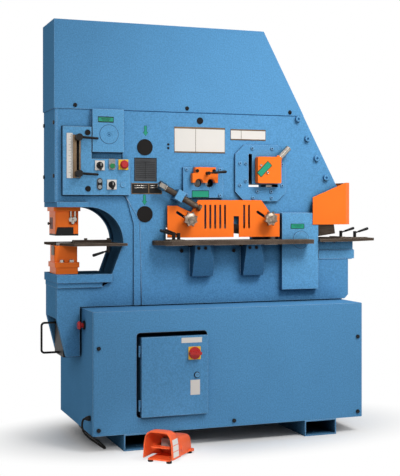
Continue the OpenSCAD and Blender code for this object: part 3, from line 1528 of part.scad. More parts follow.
// Cord from the cabinet's gland to the pedal, chosen point by point
cord_sides = 8;
cord_r = cord_dia / 2;
cord_gland_run = [[-24, 47, 149], [-34, 46, 142], [-38, 45, 118], [-32, 40, 92], [-16, 33, 72], [8, 29, 52],
  [40, 33, 28], [66, 55, 9], [78, 115, 4.5], [74, 355, 4.5], [76, 495, 4.5]];
cord_back_run = [[-143, -65, 4.5], [-115, 5, 4.5], [-60, 41, 4.5], [5, 49, 4.5], [71, 39, 4.5],
  [107, -13, 4.5], [111, -125, 4.5], [115, -255, 4.5]];
cord_pedal_run = [[358, 275, 4.5], [400, 155, 4.5], [432, 75, 6], [441, 25, 14], [434, -17, 32],
  [420, -43, 46], [405, -63, 52], [388.5, -80, 52]];
cord_points = concat([for (p = cord_gland_run) p + [left, front, 0]],
  [for (p = cord_back_run) p + [-fork_pitch / 2, back, 0]],
  [for (p = cord_pedal_run) p + [left, front, 0]]);
function cord_dir(i) = let (n = len(cord_points), a = cord_points[max(i - 1, 0)],
  b = cord_points[min(i + 1, n - 1)]) (b - a) / norm(b - a);
function cord_ring(i) = let (d = cord_dir(i), up = abs(d[2]) > 0.9 ? [1, 0, 0] : [0, 0, 1],
  u = cross(d, up) / norm(cross(d, up)), v = cross(u, d)) [for (k = [0 : cord_sides - 1])
  cord_points[i] + cord_r * (u * cos(k * 360 / cord_sides) + v * sin(k * 360 / cord_sides))];
module pedal_cord() {
  n = len(cord_points);
  s = cord_sides;
  color(dark) polyhedron(points = [for (i = [0 : n - 1]) each cord_ring(i)],
    faces = concat([[for (k = [0 : s - 1]) k]], [[for (k = [0 : s - 1]) n * s - 1 - k]],
      [for (i = [0 : n - 2], k = [0 : s - 1]) [i * s + k, (i + 1) * s + k, (i + 1) * s + (k + 1) % s,
        i * s + (k + 1) % s]]));
}
fork_tubes();
base_cabinet();
front_panel();
enclosure_box();
power_unit();
front_plate();
rear_plate();
front_overlay();
frame_spacers();
hood();
platens();
frame_blocks();
hydraulic_cylinders();
stripper_housing();
stripper_plate();
die_holder();
punch_die();
work_tables();
table_brackets();
lower_blade();
bar_shear_plate();
angle_shear_plate();
notcher_guard();
control_panel();
panel_plates();
frame_bolts();
gaskets_and_plugs();
cord_gland();
pedal_cord();
pedal_body();
punch_ram();
shear_beam();
shear_rod();
notcher_arm();
shear_guard();
star_knob_left();
star_knob_right();
hold_down_screw();
bar_hold_down();
bar_lever();
angle_hold_down();
electrical_door();
disconnect_knob();
door_latch();
selector_upper();
selector_lower();
start_button();
stop_button();
side_stop_button();
jog_up_button();
jog_down_button();
stroke_clamp_upper();
stroke_clamp_lower();
pedal_treadle();
slug_drawer();
punch_table_lever();
fence_lever_left();
fence_lever_right();
notch_lever_front();
notch_lever_rear();
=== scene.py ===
import json
import math
import bpy
import bmesh
from mathutils import Matrix, Vector


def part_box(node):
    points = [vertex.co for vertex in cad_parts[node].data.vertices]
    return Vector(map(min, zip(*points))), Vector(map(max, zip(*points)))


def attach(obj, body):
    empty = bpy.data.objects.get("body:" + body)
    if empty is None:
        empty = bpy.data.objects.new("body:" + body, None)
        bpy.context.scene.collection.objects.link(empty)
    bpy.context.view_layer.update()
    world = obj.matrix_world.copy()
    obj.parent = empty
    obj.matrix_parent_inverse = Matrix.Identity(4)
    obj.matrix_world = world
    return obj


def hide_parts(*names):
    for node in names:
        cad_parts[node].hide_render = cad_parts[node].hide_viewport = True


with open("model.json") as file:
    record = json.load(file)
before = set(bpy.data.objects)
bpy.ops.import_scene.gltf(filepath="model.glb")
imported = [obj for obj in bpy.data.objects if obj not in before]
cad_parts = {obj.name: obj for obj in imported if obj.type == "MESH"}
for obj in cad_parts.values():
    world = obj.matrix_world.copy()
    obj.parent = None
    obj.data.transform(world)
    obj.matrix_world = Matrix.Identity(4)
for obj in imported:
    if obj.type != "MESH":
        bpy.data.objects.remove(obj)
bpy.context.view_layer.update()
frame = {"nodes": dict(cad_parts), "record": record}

NODES = frame["nodes"]
ROOT = "machine"

# Directions, and the machine's planes and heights in metres
UP, DOWN, FORE = Vector((0, 0, 1)), Vector((0, 0, -1)), Vector((0, -1, 0))
LEFTWARD, RIGHTWARD = Vector((-1, 0, 0)), Vector((1, 0, 0))
SKIN, HOOD_Y, PANEL_Y, FRONT_Y, DOOR_Y, FACE_Y = -0.133, -0.129, -0.150, -0.335, -0.355, -0.125
CABINET_TOP = 0.625
HEX = 6

# Camera, fitted to the photograph: its place, level directions, and focal length in the photograph's pixels
EYE = Vector((-1.781, -4.782, 1.085))
AHEAD = Vector((0.341, 0.940, 0.0)).normalized()
ASIDE = Vector((0.940, -0.341, 0.0)).normalized()
FOCAL, MID_U, EYE_V, PHOTO_H = 1034.0, 200.0, 208.0, 476.0
SENSOR, FAR = 36.0, 60.0

cam = bpy.data.cameras.new("camera")
cam.sensor_width = SENSOR
cam.lens = FOCAL * SENSOR / PHOTO_H
cam.shift_y = -(PHOTO_H / 2 - EYE_V) / PHOTO_H
cam.clip_end = FAR
cam_ob = bpy.data.objects.new("camera", cam)
bpy.context.collection.objects.link(cam_ob)
cam_ob.location = EYE
cam_ob.rotation_euler = (math.pi / 2, 0.0, -math.atan2(AHEAD.x, AHEAD.y))
bpy.context.scene.camera = cam_ob
bpy.context.scene.view_settings.view_transform = "Standard"


def at(u, v, y):
    """Point of the plane y that the photograph's pixel u, v looks at."""
    ray = AHEAD + ASIDE * ((u - MID_U) / FOCAL) + Vector((0, 0, (EYE_V - v) / FOCAL))
    return EYE + ray * ((y - EYE.y) / ray.y)


# Material nodes
MIX_A, MIX_B, MIX_RESULT = 6, 7, 2
BEVEL_SAMPLES, CREASE_SAMPLES = 4, 6
TONE_NOISE = dict(scale=5.0, detail=4.0, rough=0.6)
SPECKLE_NOISE = dict(scale=170.0, detail=1.0)
FILM_NOISE = dict(scale=9.0, detail=6.0, rough=0.65)
STREAK_NOISE = dict(detail=4.0, rough=0.6)
PEEL_DETAIL, PEEL_STRENGTH, PEEL_BAND, PEEL_ROUGH = 2.0, 0.35, (0.35, 0.65), 0.07
TONE_BAND, SPECKLE_BAND, EDGE_BAND, CREASE_BAND = (0.3, 0.7), (0.32, 0.68), (0.86, 0.985), (0.12, 0.7)
STEEL_BAND, STEEL_ROUGH_BAND, SCRATCH_STRENGTH = (0.36, 0.64), (0.3, 0.7), 0.25
STEEL_DULL, STEEL_SHARP = 0.1, 0.08
# Colour for steel edges that are partly worn and partly a painted highlight.
WORN_GLINT_STEEL = (0.62, 0.56, 0.47, 1)
THREAD_ROUGH, THREAD_STRENGTH, THREAD_DEPTH = 0.42, 0.9, 0.0006


def lin(r, g, b):
    """Linear colour, as a node takes it, of one written in 0 to 255."""
    def one(c):
        return c / 255 / 12.92 if c < 10 else ((c / 255 + 0.055) / 1.055) ** 2.4
    return one(r), one(g), one(b), 1.0


def grey(value):
    return (value,) * 3 + (1,)


def shade(c, k):
    return tuple(min(1.0, x * k) for x in c[:3]) + (1.0,)


def shader(name):
    m = bpy.data.materials.new(name)
    m.use_nodes = True
    t = m.node_tree
    return m, t, t.nodes["Principled BSDF"], t.nodes.new("ShaderNodeTexCoord")


def new_node(t, kind, **settings):
    n = t.nodes.new("ShaderNode" + kind)
    for key, value in settings.items():
        setattr(n, key, value)
    return n


def feed(t, value, socket):
    """Link the socket to another one, or set it to a constant."""
    if isinstance(value, bpy.types.NodeSocket):
        t.links.new(value, socket)
    else:
        socket.default_value = value


def calc(t, operation, *values):
    n = new_node(t, "Math", operation=operation)
    for value, socket in zip(values, n.inputs):
        feed(t, value, socket)
    return n.outputs[0]


def vector_calc(t, operation, *values):
    n = new_node(t, "VectorMath", operation=operation)
    for value, socket in zip(values, n.inputs):
        feed(t, value, socket)
    return n.outputs["Value" if operation in ("DOT_PRODUCT", "LENGTH") else "Vector"]


def blend(t, tone, other, factor=1.0, mode="MULTIPLY"):
    mix = new_node(t, "Mix", data_type="RGBA", blend_type=mode)
    feed(t, factor, mix.inputs["Factor"])
    feed(t, tone, mix.inputs[MIX_A])
    feed(t, other, mix.inputs[MIX_B])
    return mix.outputs[MIX_RESULT]


def noise(t, coord, scale, detail=3.0, rough=0.5, stretch=None):
    n = new_node(t, "TexNoise")
    n.inputs["Scale"].default_value = scale
    n.inputs["Detail"].default_value = detail
    n.inputs["Roughness"].default_value = rough
    where = coord.outputs["Object"]
    if stretch:
        mapping = new_node(t, "Mapping")
        mapping.inputs["Scale"].default_value = stretch
        t.links.new(where, mapping.inputs["Vector"])
        where = mapping.outputs["Vector"]
    t.links.new(where, n.inputs["Vector"])
    return n.outputs["Fac"]


def ramp(t, source, band, low, high):
    """Colour that runs from low to high over a band of the source."""
    r = new_node(t, "ValToRGB")
    for e, place, colour in zip(r.color_ramp.elements, band, (low, high)):
        e.position, e.color = place, colour
    t.links.new(source, r.inputs["Fac"])
    return r.outputs["Color"]


def soft_normal(t, reach):
    v = new_node(t, "Bevel", samples=BEVEL_SAMPLES)
    v.inputs["Radius"].default_value = reach
    return v.outputs["Normal"]


def bump(t, p, height, strength, distance, edge=0.0):
    """Relief on the shader p, over edges rounded by edge."""
    b = new_node(t, "Bump")
    b.inputs["Strength"].default_value = strength
    b.inputs["Distance"].default_value = distance
    t.links.new(height, b.inputs["Height"])
    if edge:
        t.links.new(soft_normal(t, edge), b.inputs["Normal"])
    t.links.new(b.outputs["Normal"], p.inputs["Normal"])


def lit_edge(t, tone, glint, light=(0.75, 0.86, 0.95, 1), reach=0.0028):
    """The tone, lighter by glint where a softened normal leaves the true one, so along edges."""
    true_normal = new_node(t, "NewGeometry").outputs["True Normal"]
    dot = vector_calc(t, "DOT_PRODUCT", soft_normal(t, reach), true_normal)
    return blend(t, tone, light, ramp(t, dot, EDGE_BAND, grey(glint), grey(0)), "MIX")


def paint_crease_shade(t, tone, crease_shade, reach=0.2):
    """Painted shade: the tone, darker in corners and under ledges."""
    ao = new_node(t, "AmbientOcclusion", samples=CREASE_SAMPLES)
    ao.inputs["Distance"].default_value = reach
    return blend(t, tone, ramp(t, ao.outputs["AO"], CREASE_BAND, grey(1 - crease_shade), grey(1)))


def paint(name, rgb, rough=0.5, grain=900.0, depth=0.00012, vary=0.06, edge=0.0012, spec=0.4, speckle=0.0,
          glint=0.0, crease_shade=0.0):
    """Powder coat: a fine peel, broad uneven tone, speckle, softly rounded edges, painted highlights along
    edges and painted shade in corners and under ledges.
    """
    m, t, p, co = shader(name)
    c = lin(*rgb)
    tone = ramp(t, noise(t, co, **TONE_NOISE), TONE_BAND, shade(c, 1 - vary), shade(c, 1 + vary))
    if speckle:
        dots = noise(t, co, **SPECKLE_NOISE)
        tone = blend(t, tone, ramp(t, dots, SPECKLE_BAND, grey(1 - speckle), grey(1)))
    # Painted highlight along edges.
    if glint:
        tone = lit_edge(t, tone, glint)
    # Painted shade in corners and under ledges.
    if crease_shade:
        tone = paint_crease_shade(t, tone, crease_shade)
    t.links.new(tone, p.inputs["Base Color"])
    peel = noise(t, co, grain, PEEL_DETAIL)
    bump(t, p, peel, PEEL_STRENGTH, depth, edge)
    roughness = ramp(t, peel, PEEL_BAND, grey(rough - PEEL_ROUGH), grey(rough + PEEL_ROUGH))
    t.links.new(roughness, p.inputs["Roughness"])
    p.inputs["Specular IOR Level"].default_value = spec
    return m


def plastic(name, rgb, rough=0.4, grain=1400.0, depth=0.00005, vary=0.08, edge=0.0006, spec=0.4):
    return paint(name, rgb, rough, grain, depth, vary, edge, spec)


def metal(name, dark, light, rough=0.35, stretch=(4, 120, 120), scale=6.0, metallic=1.0, edge=0.0008,
          scratch=0.00006, spec=0.5, wear_and_glint=0.0):
    """Ground steel: streaks along one way, a mottled film and fine scratches."""
    m, t, p, co = shader(name)
    film = calc(t, "MULTIPLY", noise(t, co, **FILM_NOISE), 0.5)
    streak = noise(t, co, scale, stretch=stretch, **STREAK_NOISE)
    both = calc(t, "MULTIPLY_ADD", streak, 0.5, film)
    tone = ramp(t, both, STEEL_BAND, lin(*dark), lin(*light))
    # Lighter along edges: partly real wear, partly a painted highlight.
    if wear_and_glint:
        tone = lit_edge(t, tone, wear_and_glint, WORN_GLINT_STEEL)
    t.links.new(tone, p.inputs["Base Color"])
    roughness = ramp(t, both, STEEL_ROUGH_BAND, grey(rough + STEEL_DULL), grey(rough - STEEL_SHARP))
    t.links.new(roughness, p.inputs["Roughness"])
    bump(t, p, streak, SCRATCH_STRENGTH, scratch, edge)
    p.inputs["Metallic"].default_value = metallic
    p.inputs["Specular IOR Level"].default_value = spec
    return m


def thread(name, dark, light, axis, pitch):
    """Dark steel with a thread's grooves square to the axis."""
    m = metal(name, dark, light, THREAD_ROUGH)
    t, p = m.node_tree, m.node_tree.nodes["Principled BSDF"]
    along = vector_calc(t, "DOT_PRODUCT", new_node(t, "TexCoord").outputs["Object"], axis)
    wave = calc(t, "SINE", calc(t, "MULTIPLY", along, 2 * math.pi / pitch))
    bump(t, p, wave, THREAD_STRENGTH, THREAD_DEPTH)
    return m


def shaded(m, shadow_tint, limit):
    """Painted shadow: the coat times a tint where x is under the limit, for the brackets that the table
    shades.
    """
    t, p = m.node_tree, m.node_tree.nodes["Principled BSDF"]
    tone = p.inputs["Base Color"].links[0].from_socket
    split = new_node(t, "SeparateXYZ")
    t.links.new(new_node(t, "TexCoord").outputs["Object"], split.inputs[0])
    side = calc(t, "LESS_THAN", split.outputs["X"], limit)
    t.links.new(blend(t, tone, shadow_tint, side), p.inputs["Base Color"])
    return m


# Materials, by the colours that the photograph shows
# COAT paints highlights along edges and shade into corners and under ledges.
COAT = dict(rough=0.6, vary=0.03, grain=420.0, depth=0.0003, spec=0.0, speckle=0.22, glint=0.34, crease_shade=0.9)
# Painted shadow: the table brackets get the lighter blue darkened by a tint, for the table's shadow over
# them.
BRACKET_SHADOW_TINT, BRACKET_SHADOW_LIMIT = (0.40, 0.44, 0.48, 1), 0.4
BLUE = paint("blue_coat", (92, 152, 199), **COAT)
# Painted light: a lighter copy of the blue paint, for the fronts that the light falls brightest on (control
# panel, frame blocks, door latch, panel cap).
LIT_BLUE = paint("panel_coat", (102, 164, 210), **COAT)
SHADOWED_BRACKET = shaded(paint("bracket_coat", (102, 164, 210), **COAT), BRACKET_SHADOW_TINT, BRACKET_SHADOW_LIMIT)
# Dark blue for the pin rings' seams and for painted shade: the strip under the hood and the slope screws'
# sockets.
SEAM_AND_SHADE = paint("blue_seam", (30, 78, 120), 0.7, spec=0.1)
ORANGE = paint("orange_coat", (250, 118, 36), 0.4, grain=500.0, depth=0.00006, vary=0.05, spec=0.15)
PEDAL = paint("pedal_coat", (232, 98, 50), 0.42, grain=260.0, depth=0.0003, vary=0.1, edge=0.002, spec=0.3)
STEEL = metal("mill_steel", (60, 51, 44), (104, 92, 82), 0.45)
TABLE = metal("table_steel", (60, 51, 44), (102, 89, 79), 0.55, metallic=0.0, spec=0.0, wear_and_glint=0.45)
BLADE = metal("blade_steel", (90, 84, 80), (156, 150, 146), 0.34, (120, 120, 4))
BRIGHT = metal("bright_steel", (128, 122, 114), (204, 198, 190), 0.2, (60, 60, 3), 4.0)
KNOB = metal("knob_steel", (74, 62, 52), (178, 163, 148), 0.42, (12, 12, 12), 8.0)
ALLOY = metal("plate_alloy", (112, 112, 112), (142, 142, 142), 0.4, (3, 160, 160), 6.0)
CHART = metal("chart_alloy", (52, 53, 55), (74, 75, 77), 0.42, (3, 160, 160), 6.0)
BRONZE = metal("rim_bronze", (84, 68, 52), (128, 108, 86), 0.4)
BLACK = paint("black_oxide", (26, 25, 25), 0.5, grain=700.0, vary=0.15, spec=0.15)
BPLAST = plastic("black_plastic", (20, 20, 21), 0.42, spec=0.2)
RUBBER = plastic("black_rubber", (27, 25, 24), 0.62, grain=600.0, depth=0.00015, spec=0.1)
GREY = plastic("grey_plate", (140, 146, 148), 0.45)
WHITE = plastic("white_plate", (216, 212, 206), 0.42, vary=0.02)
YELLOW = plastic("yellow_plate", (236, 190, 40), 0.4, vary=0.03)
RED = plastic("red_plastic", (184, 34, 32), 0.28, vary=0.04)
GREEN = plastic("green_plastic", (0, 122, 70), 0.3, vary=0.05)
TAG = plastic("green_tag", (6, 142, 110), 0.55, vary=0.04)
# Near black for painted shade in screw sockets and for the ruler's printed ticks.
SHADE_AND_INK = plastic("socket_shade", (8, 8, 9), 0.6)
BED = plastic("pedal_pad", (132, 122, 116), 0.7, grain=220.0, depth=0.0008)
OPENING_SHADE = plastic("window_shade", (96, 44, 34), 0.6)

SCREW_TILT, SCREW_PITCH = math.radians(29), 0.004
SCREW_AXIS = Vector((math.cos(SCREW_TILT), 0.0, -math.sin(SCREW_TILT)))
THREAD = thread("screw_thread", (58, 50, 44), (116, 104, 92), SCREW_AXIS, SCREW_PITCH)

# The record's slots: each slot's first material is the one that its CAD nodes get unless they have their own
SLOTS = {"blue_paint": (BLUE, LIT_BLUE, SEAM_AND_SHADE), "orange_paint": (ORANGE, OPENING_SHADE), "mill_steel": (STEEL,),
         "bright_steel": (BRIGHT,), "black_paint": (BLACK, SHADE_AND_INK), "black_plastic": (BPLAST,),
         "black_rubber": (RUBBER, BED), "plate_grey": (GREY, WHITE, YELLOW, ALLOY, CHART, BRONZE),
         "pedal_paint": (PEDAL,), "red_plastic": (RED,), "green_plastic": (GREEN, TAG)}
BY_NODE = {"lower_blade": BLADE, "shear_beam": BLADE, "notcher_arm": STEEL, "star_knob_left": KNOB,
           "star_knob_right": KNOB, "punch_die": BLADE, "hold_down_screw": THREAD, "work_tables": TABLE,
           "control_panel": LIT_BLUE, "frame_blocks": LIT_BLUE, "door_latch": LIT_BLUE, "table_brackets": SHADOWED_BRACKET,
           "jog_up_button": GREY, "jog_down_button": GREY}
for part in frame["record"]["subparts"]:
    ob = NODES[part["node"]]
    m = BY_NODE.get(part["node"], SLOTS[part["material_slot"]][0])
    if not ob.material_slots:
        ob.data.materials.append(m)
    for s in ob.material_slots:
        s.material = m


# Building blocks
def piece(name, bm, material, body=ROOT, smooth=False):
    """Object from a bmesh, riding on a body, with its material."""
    me = bpy.data.meshes.new(name)
    bmesh.ops.recalc_face_normals(bm, faces=bm.faces)
    bm.to_mesh(me)
    bm.free()
    for p in me.polygons:
        p.use_smooth = smooth
    ob = bpy.data.objects.new(name, me)
    bpy.context.collection.objects.link(ob)
    me.materials.append(material)
    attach(ob, body)
    return ob


def basis(normal, up=UP):
    """Frame whose local Z is the normal and whose local Y is nearest to up."""
    n = Vector(normal).normalized()
    x = Vector(up).cross(n)
    x = x.normalized() if x.length > 1e-6 else Vector((1, 0, 0))
    y = n.cross(x)
    return Matrix((x, y, n)).transposed().to_4x4()


def placed(pos, normal, up=UP, spin=0.0):
    return Matrix.Translation(pos) @ basis(normal, up) @ Matrix.Rotation(math.radians(spin), 4, "Z")


def rect(w, h):
    return [(-w / 2, -h / 2), (w / 2, -h / 2), (w / 2, h / 2), (-w / 2, h / 2)]


def round_rect(w, h, r, seg=5):
    x, y, pts = w / 2 - r, h / 2 - r, []
    for cx, cy, start in ((x, y, 0), (-x, y, 90), (-x, -y, 180), (x, -y, 270)):
        for k in range(seg + 1):
            a = math.radians(start + 90 * k / seg)
            pts.append((cx + r * math.cos(a), cy + r * math.sin(a)))
    return pts


def ring(mt, r, z, n):
    angles = [2 * math.pi * k / n for k in range(n)]
    return [mt @ Vector((r * math.cos(a), r * math.sin(a), z)) for a in angles]


def hex_ring(mt, r, z, n):
    """Ring of n points on a hexagon whose flats lie r from its axis."""
    pts = []
    for k in range(n):
        a = 2 * math.pi * k / n
        e = r / math.cos((a % (math.pi / 3)) - math.pi / 6)
        pts.append(mt @ Vector((e * math.cos(a), e * math.sin(a), z)))
    return pts


def loft(bm, rings, cap=True):
    """Skin through rings of points, whose first and last are capped unless they are one and the same."""
    loops = [[bm.verts.new(p) for p in points] for points in rings]
    for a, b in zip(loops, loops[1:]):
        n = len(a)
        for i in range(n):
            bm.faces.new((a[i], a[(i + 1) % n], b[(i + 1) % n], b[i]))
    if cap:
        bm.faces.new(list(reversed(loops[0])))
        bm.faces.new(loops[-1])


def tile(bm, pos, normal, outline, t, bevel=0.0003, up=UP, spin=0.0):
    """Thin plate with a bevelled rim, its back on pos."""
    mt = placed(pos, normal, up, spin)
    cx = sum(p[0] for p in outline) / len(outline)
    cy = sum(p[1] for p in outline) / len(outline)
    size = max(max(abs(p[0] - cx), abs(p[1] - cy)) for p in outline)
    rings = []
    for z, s in ((0, 1), (t - bevel, 1), (t, 1 - bevel / size)):
        rings.append([mt @ Vector((cx + (x - cx) * s, cy + (y - cy) * s, z)) for x, y in outline])
    loft(bm, rings)


PLATE_BEVEL = 0.0004


def plate(name, pos, normal, w, h, t, r, material, body=ROOT, spin=0.0):
    """Piece that is one plate, w wide, h high and t thick, with corners of the radius r."""
    bm = bmesh.new()
    tile(bm, pos, normal, round_rect(w, h, r), t, min(PLATE_BEVEL, t / 2), spin=spin)
    return piece(name, bm, material, body)


def lathe(bm, pos, normal, profile, seg=40, socket=0.0, depth=0.0, spin=0.0):
    """Turned form along the normal; profile is (radius, height); a hexagon socket may be sunk in its top."""
    mt = placed(pos, normal, spin=spin)
    rings = [ring(mt, r, z, seg) for r, z in profile]
    if socket:
        top = profile[-1][1]
        rings += [hex_ring(mt, socket, top, seg), hex_ring(mt, socket, top - depth, seg)]
    loft(bm, rings)


def turned_piece(name, pos, normal, profile, seg, material, body=ROOT, smooth=False):
    bm = bmesh.new()
    lathe(bm, pos, normal, profile, seg)
    return piece(name, bm, material, body, smooth)


def hoop(bm, pos, normal, r_in, r_out, t, seg=56):
    """Flat ring with its back on pos."""
    mt = placed(pos, normal)
    section = [(r_in, 0), (r_in, t), (r_out, t), (r_out, 0), (r_in, 0)]
    loft(bm, [ring(mt, r, z, seg) for r, z in section], False)


CAP_SHARES, CAP_SOCKET_SHARES = ((1, 0), (1, 0.82), (0.93, 0.96), (0.86, 1)), (0.5, 0.6)
BUTTON_SHARES, BUTTON_SOCKET_SHARES = ((1, 0), (0.97, 0.35), (0.82, 0.75), (0.6, 1)), (0.38, 0.5)
SCREW_SEG = 36


def screw(bm, pos, normal, r, h, spin=0.0, shares=CAP_SHARES, socket=CAP_SOCKET_SHARES):
    """Socket screw head with a chamfered rim."""
    profile = [(r * a, h * b) for a, b in shares]
    lathe(bm, pos, normal, profile, SCREW_SEG, r * socket[0], h * socket[1], spin)


def button_screw(bm, pos, normal, r, h, spin=0.0):
    screw(bm, pos, normal, r, h, spin, BUTTON_SHARES, BUTTON_SOCKET_SHARES)


def screws(name, places, r, h, turn, material, body=ROOT, head=screw):
    """Like screws on the front, each turned on from the last."""
    bm = bmesh.new()
    for i, pos in enumerate(places):
        head(bm, pos, FORE, r, h, turn * i)
    return piece(name, bm, material, body)


# Pedal cord: its route in millimetres, from the gland, behind and under the machine, to the back of the pedal
ROUTE_MM = [(-694, -288, 149), (-704, -289, 142), (-708, -290, 118), (-702, -295, 92), (-686, -302, 72),
            (-662, -306, 52), (-630, -302, 28), (-604, -280, 9), (-592, -220, 4.5), (-596, 20, 4.5),
            (-594, 160, 4.5), (-588, 270, 4.5), (-560, 340, 4.5), (-505, 376, 4.5), (-440, 384, 4.5),
            (-374, 374, 4.5), (-338, 322, 4.5), (-334, 210, 4.5), (-330, 80, 4.5), (-312, -60, 4.5),
            (-270, -180, 4.5), (-238, -260, 6), (-229, -310, 14), (-236, -352, 32), (-250, -378, 46),
            (-265, -398, 52), (-281.5, -415, 52)]
CORD_R, CORD_FINENESS = 0.0045, 5


def smooth_route(pts, n=6):
    """Catmull-Rom points through the route, never under the floor."""
    out = []
    for i in range(len(pts) - 1):
        a, b, c, d = pts[max(i - 1, 0)], pts[i], pts[i + 1], pts[min(i + 2, len(pts) - 1)]
        for k in range(n):
            s = k / n
            square, cube = 2 * a - 5 * b + 4 * c - d, 3 * b - 3 * c + d - a
            p = 0.5 * (2 * b + (c - a) * s + square * s * s + cube * s ** 3)
            p.z = max(p.z, CORD_R)
            out.append(p)
    return out + [pts[-1]]


path = smooth_route([Vector(p) / 1000 for p in ROUTE_MM])
cu = bpy.data.curves.new("pedal_lead", "CURVE")
cu.dimensions = "3D"
cu.bevel_depth = CORD_R
cu.bevel_resolution = CORD_FINENESS
cu.use_fill_caps = True
sp = cu.splines.new("POLY")
sp.points.add(len(path) - 1)
for q, p in zip(sp.points, path):
    q.co = (p.x, p.y, p.z, 1.0)
cu.materials.append(RUBBER)
lead = bpy.data.objects.new("pedal_lead", cu)
bpy.context.collection.objects.link(lead)
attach(lead, ROOT)
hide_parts("pedal_cord")


# Hood, frame and cabinet details
def at_all(y, *pixels):
    return [at(u, v, y) for u, v in pixels]


def middle(a, b, y):
    return Vector(((a.x + b.x) / 2, y, (a.z + b.z) / 2))


HOOD_SCREWS = at_all(HOOD_Y, (75.1, 104.9), (187.1, 108.4), (289.9, 112.4))
screws("hood_screws", HOOD_SCREWS, 0.010, 0.006, 20, BLACK, head=button_screw)
screws("dot_screws", at_all(SKIN, (168.3, 144.4), (168.3, 148.0)), 0.006, 0.003, 15, BLACK, head=button_screw)

LABEL_T, LABEL_CORNER, LINE_T = 0.0010, 0.002, 0.0003


def label_px(name, box, y, material, rim, width, rows=()):
    """Bare label over a box of the photograph, with a rim, and with plain lines where it has rows."""
    u0, v0, u1, v1 = box
    um, vm = (u0 + u1) / 2, (v0 + v1) / 2
    a, b, c, d = at(u0, vm, y), at(u1, vm, y), at(um, v1, y), at(um, v0, y)
    mid = Vector(((a.x + b.x) / 2, y, (c.z + d.z) / 2))
    plate(name, mid, FORE, b.x - a.x, d.z - c.z, LABEL_T, LABEL_CORNER, material)
    edges = [(u0, v0, u1, v0 + width), (u0, v1 - width, u1, v1),
             (u0, v0 + width, u0 + width, v1 - width), (u1 - width, v0 + width, u1, v1 - width)]
    g = bmesh.new()
    for left, top, right, foot in edges + list(rows):
        a, b = at(left, foot, y - LABEL_T), at(right, top, y - LABEL_T)
        tile(g, middle(a, b, y - LABEL_T), FORE, rect(b.x - a.x, b.z - a.z), LINE_T, LINE_T / 4)
    piece(name + "_rim", g, rim)


TRUNNION, PIVOT = Vector((-0.5485, -0.153, 1.425)), Vector((0.424, -0.161, 0.929))
CHART_ROWS = [(136.0, 162.0 + 1.9 * k, 155.0, 162.25 + 1.9 * k) for k in range(9)]
CHART_ROWS.append((145.2, 162.0, 145.5, 179.0))
label_px("chart_plate", (134.3, 158.0, 156.7, 181.2), SKIN, CHART, BPLAST, 0.45, CHART_ROWS)
# Painted shade: a black plate stands for the window's dark recess; bright rods go in front of it.
label_px("name_window", (131.4, 183.3, 162.0, 194.0), SKIN, BPLAST, BRONZE, 0.6,
         [(148.3, 183.9, 149.2, 193.4)])
label_px("upper_label_bare", (174.3, 128.0, 225.0, 152.5), SKIN, WHITE, BRONZE, 0.35,
         [(195.4, 128.4, 195.8, 152.2)])
label_px("side_label_bare", (230.5, 130.0, 265.6, 140.0), SKIN, WHITE, BRONZE, 0.35,
         [(241.0, 130.3, 241.4, 139.7)])

ROD_OUT, ROD_R, ROD_TIP_R, ROD_TIP = 0.003, 0.0019, 0.0012, 0.0007
bm = bmesh.new()
for u0, u1 in ((134.2, 147.4), (150.0, 155.6)):
    for v in (185.7, 187.8):
        a, b = at_all(SKIN - ROD_OUT, (u0, v), (u1, v))
        k = b.x - a.x
        lathe(bm, a, RIGHTWARD, [(ROD_TIP_R, 0), (ROD_R, ROD_TIP), (ROD_R, k - ROD_TIP), (ROD_TIP_R, k)], 20)
piece("window_rods", bm, BRIGHT, smooth=True)
label_px("tag_trunnion", (98.0, 116.8, 113.7, 122.1), -0.153, TAG, BPLAST, 0.45,
         [(101.2, 118.7, 110.6, 119.0), (102.4, 120.0, 109.4, 120.3)])
label_px("tag_pivot", (290.8, 223.7, 304.3, 228.7), -0.161, TAG, BPLAST, 0.45,
         [(293.6, 225.4, 301.6, 225.7), (294.8, 226.7, 300.4, 227.0)])

ARROW_HALF, ARROW_STEM, ARROW_HIP = 0.26, 0.11, 0.12
ARROW_LAYERS = (("", 0.0, 0.0008, TAG), ("_rim", 0.0015, 0.0004, BPLAST))


def arrow(name, u, v0, v1, y):
    """Flat arrow that points down, with a rim behind it."""
    a, b = at(u, v0, y), at(u, v1, y)
    h = a.z - b.z
    mt = placed(Vector((a.x, y, (a.z + b.z) / 2)), FORE)
    for end, grow, t, material in ARROW_LAYERS:
        w, stem, hip, tip = h * ARROW_HALF + grow, h * ARROW_STEM + grow, -h * ARROW_HIP + grow, h / 2 + grow
        out = [(-stem, tip), (-stem, hip), (-w, hip), (0, -tip), (w, hip), (stem, hip), (stem, tip)]
        g = bmesh.new()
        loft(g, [[mt @ Vector((x, q, z)) for x, q in out] for z in (0.0, t)])
        piece(name + end, g, material)


# Painted shadow: a thin dark strip along the hood's lower edge.
a, b = at_all(SKIN, (122.5, 110.7), (300.0, 116.2))
plate("hood_seam", middle(a, b, SKIN), FORE, b.x - a.x, 0.004, 0.0006, 0.0005, SEAM_AND_SHADE)
arrow("arrow_upper", 145.5, 126.0, 136.0, SKIN)
arrow("arrow_lower", 144.5, 195.0, 205.0, SKIN)

# Rings on the pin blocks: centre, inner and outer radius, thickness, segments
PIN_DISH = TRUNNION + FORE * 0.001
PIN_RINGS = ((TRUNNION, 0.0432, 0.0452, 0.0004, 56), (PIN_DISH, 0.0088, 0.0102, 0.0003, 56),
             (PIN_DISH, 0.0012, 0.0040, 0.0003, 24), (PIVOT, 0.0423, 0.0442, 0.0004, 56))
bm = bmesh.new()
for centre, r_in, r_out, thick, seg in PIN_RINGS:
    hoop(bm, centre, FORE, r_in, r_out, thick, seg)
piece("pin_rings", bm, SEAM_AND_SHADE)

